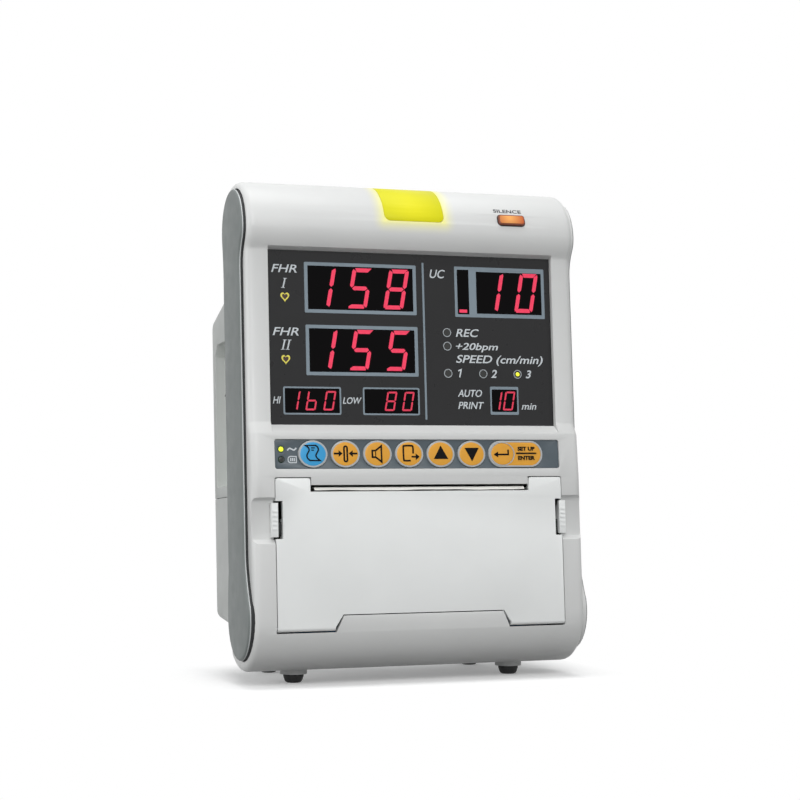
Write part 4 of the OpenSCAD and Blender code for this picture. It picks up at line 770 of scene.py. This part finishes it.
SHEET = curved([(1.3, 4.1), (2.3, 3.4), (2.65, 2.3), (2.5, 1.5), (1.8, 0.4), (1.35, -0.8),
                (1.85, -1.95), (3.4, -3.2)], False, 3)
SHEET += curved([(-1.7, -3.15), (-2.85, -2.1), (-3.2, -0.8), (-2.6, 0.6), (-2.0, 1.8), (-2.4, 3.1),
                 (-3.8, 4.1)], False, 3)
KEYS = [("record_key", "key_blue"), ("zero_key", "key_orange"), ("volume_key", "key_orange"),
        ("feed_key", "key_orange"), ("up_key", "key_orange"), ("down_key", "key_orange"),
        ("enter_key", "key_orange")]
ENTER_X = KEY_X0 + 6 * KEY_PITCH
MARKS = {
    "record_key": [key_mark(0, SHEET, True, 0.72), key_mark(0, [(-1.0, 2.9), (0.9, 2.9)], width=0.55),
                   key_mark(0, [(-0.9, 1.8), (0.4, 1.8)], width=0.55)],
    "zero_key": [key_mark(1, rounded(-0.8, 0.8, -3.7, 3.7, 0.79), True),
                 key_mark(1, [(-6.0, 0.2), (-3.4, 0.2)]), arrow(1, -1.6, 0.2, 2.0, 1),
                 key_mark(1, [(3.4, 0.2), (6.0, 0.2)]), arrow(1, 1.6, 0.2, 2.0, -1)],
    "volume_key": [key_mark(2, [(-2.8, 1.6), (-1.1, 1.6), (1.9, 3.9), (1.9, -3.9), (-1.1, -1.6),
                                (-2.8, -1.6)], True),
                   key_mark(2, [(-1.1, 1.4), (-1.1, -1.4)], width=0.45)],
    "feed_key": [key_mark(3, curved([(1.9, 0.2), (1.9, 3.2), (1.2, 4.0), (-2.4, 4.0), (-3.1, 3.3),
                                     (-3.1, -2.5), (-2.4, -3.3), (0.5, -3.3)], False, 3)),
                 key_mark(3, [(1.0, -1.4), (3.6, -1.4)]), arrow(3, 5.2, -1.4, 2.0, 1)],
    "up_key": [key_shape(4, [(-3.8, -2.5), (3.8, -2.5), (0.0, 4.1)])],
    "down_key": [key_shape(5, [(-3.8, 3.0), (0.0, -3.7), (3.8, 3.0)])],
    "enter_key": [key_mark(6, [(-2.8, -0.3), (3.1, -0.3), (3.1, 2.1)]),
                  key_shape(6, [(-4.8, -0.3), (-2.4, -1.7), (-2.4, 1.1)]),
                  key_shape(6, [(7.5, -0.05), (18.4, -0.05), (18.4, 0.65), (7.5, 0.65)]),
                  words("SET UP", ENTER_X + 8.4, ENTER_X + 17.6, KEY_ZC + 1.6, KEY_ZC + 3.6,
                        weight=0.034),
                  words("ENTER", ENTER_X + 8.4, ENTER_X + 17.5, KEY_ZC - 3.0, KEY_ZC - 1.0,
                        weight=0.034)],
}
# Half a key's width and height, the ring round its coloured face, and the long key's width
KEY_HALF_W, KEY_HALF_H, RING_W, LONG_KEY = 7.35, 6.6, 0.8, 29.2
KEY_RX, KEY_RZ = KEY_HALF_W - RING_W, KEY_HALF_H - RING_W
for i, (key, slot) in enumerate(KEYS):
    dressed(key, KEY_RING, body=key, edge=0.22)
    tint = KEY_BLUE if slot == "key_blue" else KEY_ORANGE
    x0 = KEY_X0 + KEY_PITCH * i
    if key == "enter_key":
        right = x0 + LONG_KEY - KEY_HALF_W - 0.95
        capsule = rounded(x0 - KEY_RX + 0.3, right, KEY_ZC - KEY_RZ, KEY_ZC + KEY_RZ, KEY_RZ, 12)
        domed("enter_field", capsule, 0.26, tint, on_key, key, rim=0.2, crown=0.02)
        printed("enter_ring", [band(oval(x0, KEY_ZC, 6.6, 5.9), oval(x0, KEY_ZC, 6.1, 5.5))],
                KEY_RING, on_key, body=key, low=0.1, high=0.5)
        domed("enter_face", oval(x0, KEY_ZC, 6.1, 5.5), 0.45, tint, on_key, key, rim=0.3,
              crown=0.05)
        lift = 0.46
    else:
        domed(key + "_face", oval(x0, KEY_ZC, KEY_RX, KEY_RZ), 0.42, tint, on_key, key)
        lift = 0.5
    printed(key + "_mark", MARKS[key], INK_DARK, on_key, body=key, low=lift - 0.2,
            high=lift + 0.12)


# The printer's door, its latches and the paper

dressed("paper_door", DOOR, body="door", edge=0.3)
for side in ("left", "right"):
    latch = dressed(side + "_latch", DOOR, body=side + "_latch", edge=0.18)
    # The latches' backs, seen through the slot, get painted shade.
    repainted(latch, SHADOW, lambda face: depth(face.center) > LATCH_BACK)

# The paper's way over the platen, and its end that droops on the door's edge in the slot
PAPER_WAY = [(14.4, 58.0), (16.65, 80.5), (16.68, 88.5), (16.5, 90.7), (16.1, 91.8), (15.5, 92.8),
             (14.8, 93.7), (13.9, 94.4), (12.8, 95.0), (11.7, 95.4), (10.5, 95.6), (6.0, 95.85),
             (2.6, 96.0), (1.5, 95.75), (0.9, 95.2), (0.65, 94.5)]
PAPER_THICK, PAPER_HALF = 0.1, 54.9


def paper_sheet():
    """A sheet along the way, whose free edge is a little wavy."""
    steps = 72
    sides = beside(PAPER_WAY, PAPER_THICK, False)
    verts, faces = [], []
    rows = len(PAPER_WAY)
    for layer in (PAPER_WAY, sides):
        for k, (y, z) in enumerate(layer):
            loose = max(0.0, (k - rows + 4) / 3.0)
            for i in range(steps + 1):
                x = -PAPER_HALF + 2 * PAPER_HALF * i / steps
                sway = math.sin(x * 0.115 + 0.6) + 0.5 * math.sin(x * 0.31 + 2.0)
                verts.append(place(x, y + 0.16 * sway * loose, z + 0.15 * sway * loose))
    wide = steps + 1
    for k in range(rows - 1):
        for i in range(steps):
            a, b = k * wide + i, (k + 1) * wide + i
            c, d = a + rows * wide, b + rows * wide
            faces += [(a, a + 1, b + 1, b), (c, d, d + 1, c + 1)]
    for k in range(rows - 1):
        for i in (0, steps):
            a, b = k * wide + i, (k + 1) * wide + i
            faces.append((a, b, b + rows * wide, a + rows * wide))
    for i in range(steps):
        for k in (0, rows - 1):
            a = k * wide + i
            faces.append((a, a + 1, a + 1 + rows * wide, a + rows * wide))
    piece = linked("paper_web_look", meshed("paper_sheet", verts, faces, 50.0), PAPER, "root")
    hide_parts("paper_web")


paper_sheet()
dressed("platen_roller", RUBBER, body="platen", edge=0.3)
dressed("paper_roll", PAPER, body="supply_roll", edge=0.3)

# Marks beside the switch in the left hollow
printed("switch_marks", [slab(rounded(69.8, 70.4, 158.4, 161.8, 0.2, 2)),
                         band(oval(70.1, 146.0, 1.5, 1.9, 28), oval(70.1, 146.0, 1.0, 1.4, 28))],
        INK_GREY, on_left)

# What stays as it is gets its finish
FINISHES = {
    "alarm_lamp_board": BOARD, "display_board": BOARD, "large_digit_modules": FIGURE,
    "small_digit_modules": FIGURE, "indicator_leds": LED_OFF, "board_screws": STEEL,
    "key_board": BOARD, "silence_switch": BOARD, "door_hinge_pins": STEEL, "platen_shaft": STEEL,
    "platen_bushes": BRONZE, "platen_gear": GEAR, "idler_gear": GEAR, "idler_pin": STEEL,
    "motor_pinion": BRASS, "step_motor": DARK_STEEL, "motor_bracket": STEEL,
    "printer_frame": BLACK, "frame_screws": STEEL, "print_head": ALUMINIUM,
    "head_pivot_pin": STEEL, "head_springs": STEEL, "roll_spindle": BLACK, "paper_tray": TRAY,
    "main_board": BOARD, "power_supply": BOARD, "battery_pack": SLEEVE, "speaker": BLACK,
    "transducer_sockets": SOCKET, "data_socket": BLACK, "mains_inlet": BLACK,
    "power_switch_frame": BLACK, "power_rocker": BLACK, "earth_stud": BRASS,
    "ribbon_cable": CABLE,
}
for node, material in FINISHES.items():
    painted(node, material)


# The stage: a white floor that fades into white, soft lamps and the camera.
# Metres: half the width and depth under the case, and how far outside it the floor is white
FLOOR_HALF_W, FLOOR_HALF_D, FLOOR_FADE = 0.084, 0.045, 0.03
FLOOR_SIZE = 6.0

def seen_rays(tree):
    """One for rays that the camera, a glossy face or a clear body sends out, zero for the rest."""
    ray = tree.nodes.new("ShaderNodeLightPath")
    seen = ray.outputs["Is Camera Ray"]
    for kind in ("Is Glossy Ray", "Is Transmission Ray"):
        node = tree.nodes.new("ShaderNodeMath")
        node.operation = "MAXIMUM"
        tree.links.new(seen, node.inputs[0])
        tree.links.new(ray.outputs[kind], node.inputs[1])
        seen = node.outputs[0]
    return seen


def floor_material():
    """White paper that fades into white; it sends less light back than the camera sees on it."""
    material, tree, shader = new_material("floor_white")
    shader.inputs["Base Color"].default_value = (0.9, 0.9, 0.9, 1)
    shader.inputs["Roughness"].default_value = 0.9
    shader.inputs["Specular IOR Level"].default_value = 0.1
    shader.inputs["Emission Color"].default_value = (1, 1, 1, 1)
    shader.inputs["Emission Strength"].default_value = 0.2
    where = tree.nodes.new("ShaderNodeTexCoord")
    split = tree.nodes.new("ShaderNodeSeparateXYZ")
    tree.links.new(where.outputs["Object"], split.inputs[0])
    side = beyond(tree, size_of(tree, split.outputs["X"]), 1.0, FLOOR_HALF_W)
    front = beyond(tree, size_of(tree, split.outputs["Y"]), 1.0, FLOOR_HALF_D)
    fade = ranged(tree, both(tree, side, front), 0.0, 1.0, 0.0, FLOOR_FADE)
    light = tree.nodes.new("ShaderNodeEmission")
    light.inputs["Color"].default_value = (1, 1, 1, 1)
    seen_mix = tree.nodes.new("ShaderNodeMixShader")
    tree.links.new(fade, seen_mix.inputs[0])
    tree.links.new(shader.outputs[0], seen_mix.inputs[1])
    tree.links.new(light.outputs[0], seen_mix.inputs[2])
    dull = tree.nodes.new("ShaderNodeBsdfDiffuse")
    dull.inputs["Color"].default_value = (0.28, 0.28, 0.28, 1)
    mixed = tree.nodes.new("ShaderNodeMixShader")
    tree.links.new(seen_rays(tree), mixed.inputs[0])
    tree.links.new(dull.outputs[0], mixed.inputs[1])
    tree.links.new(seen_mix.outputs[0], mixed.inputs[2])
    tree.links.new(mixed.outputs[0], tree.nodes["Material Output"].inputs["Surface"])
    return material


floor_mesh = bpy.data.meshes.new("floor")
corners = [(-1, -1), (1, -1), (1, 1), (-1, 1)]
floor_mesh.from_pydata([(x * FLOOR_SIZE, y * FLOOR_SIZE, 0) for x, y in corners], [], [(0, 1, 2, 3)])
floor_mesh.materials.append(floor_material())
floor = bpy.data.objects.new("floor", floor_mesh)
bpy.context.scene.collection.objects.link(floor)


def lamp(name, place_at, aim, size, power):
    light = bpy.data.lights.new(name, "AREA")
    light.shape = "DISK"
    light.size = size
    light.energy = power
    holder = bpy.data.objects.new(name, light)
    holder.location = place_at
    holder.rotation_euler = (Vector(aim) - Vector(place_at)).to_track_quat("-Z", "Y").to_euler()
    bpy.context.scene.collection.objects.link(holder)


MIDDLE = (0.0, 0.0, 0.13)
lamp("key_lamp", (-0.3, -1.25, 0.85), MIDDLE, 0.8, 9.3)
lamp("top_lamp", (0.0, -0.15, 1.3), MIDDLE, 0.9, 6.2)
lamp("side_lamp", (-1.2, 0.0, 0.5), MIDDLE, 0.7, 4.3)

world = bpy.data.worlds.new("studio")
bpy.context.scene.world = world
world.use_nodes = True
sky = world.node_tree
sky.nodes.clear()
seen_sky = sky.nodes.new("ShaderNodeBackground")
seen_sky.inputs["Color"].default_value = (1, 1, 1, 1)
soft_sky = sky.nodes.new("ShaderNodeBackground")
soft_sky.inputs["Color"].default_value = (0.98, 0.99, 1.0, 1)
soft_sky.inputs["Strength"].default_value = 0.42
sky_mix = sky.nodes.new("ShaderNodeMixShader")
sky.links.new(seen_rays(sky), sky_mix.inputs[0])
sky.links.new(soft_sky.outputs[0], sky_mix.inputs[1])
sky.links.new(seen_sky.outputs[0], sky_mix.inputs[2])
sky_out = sky.nodes.new("ShaderNodeOutputWorld")
sky.links.new(sky_mix.outputs[0], sky_out.inputs["Surface"])

# The photograph's view: a long lens from the left, a little below the middle
VIEW_TURN, VIEW_RISE = math.radians(20.5), math.radians(-1.465)
VIEW_AIM, VIEW_DISTANCE = Vector((-0.01115, -0.04251, 0.13796)), 0.9864
camera_data = bpy.data.cameras.new("camera")
camera_data.sensor_width = 36
camera_data.lens = 91.125
camera = bpy.data.objects.new("camera", camera_data)
view_back = Vector((-math.sin(VIEW_TURN) * math.cos(VIEW_RISE),
                    -math.cos(VIEW_TURN) * math.cos(VIEW_RISE), math.sin(VIEW_RISE)))
camera.location = VIEW_AIM + view_back * VIEW_DISTANCE
camera.rotation_euler = view_back.to_track_quat("Z", "Y").to_euler()
bpy.context.scene.collection.objects.link(camera)
bpy.context.scene.camera = camera
bpy.context.scene.view_settings.view_transform = "Standard"
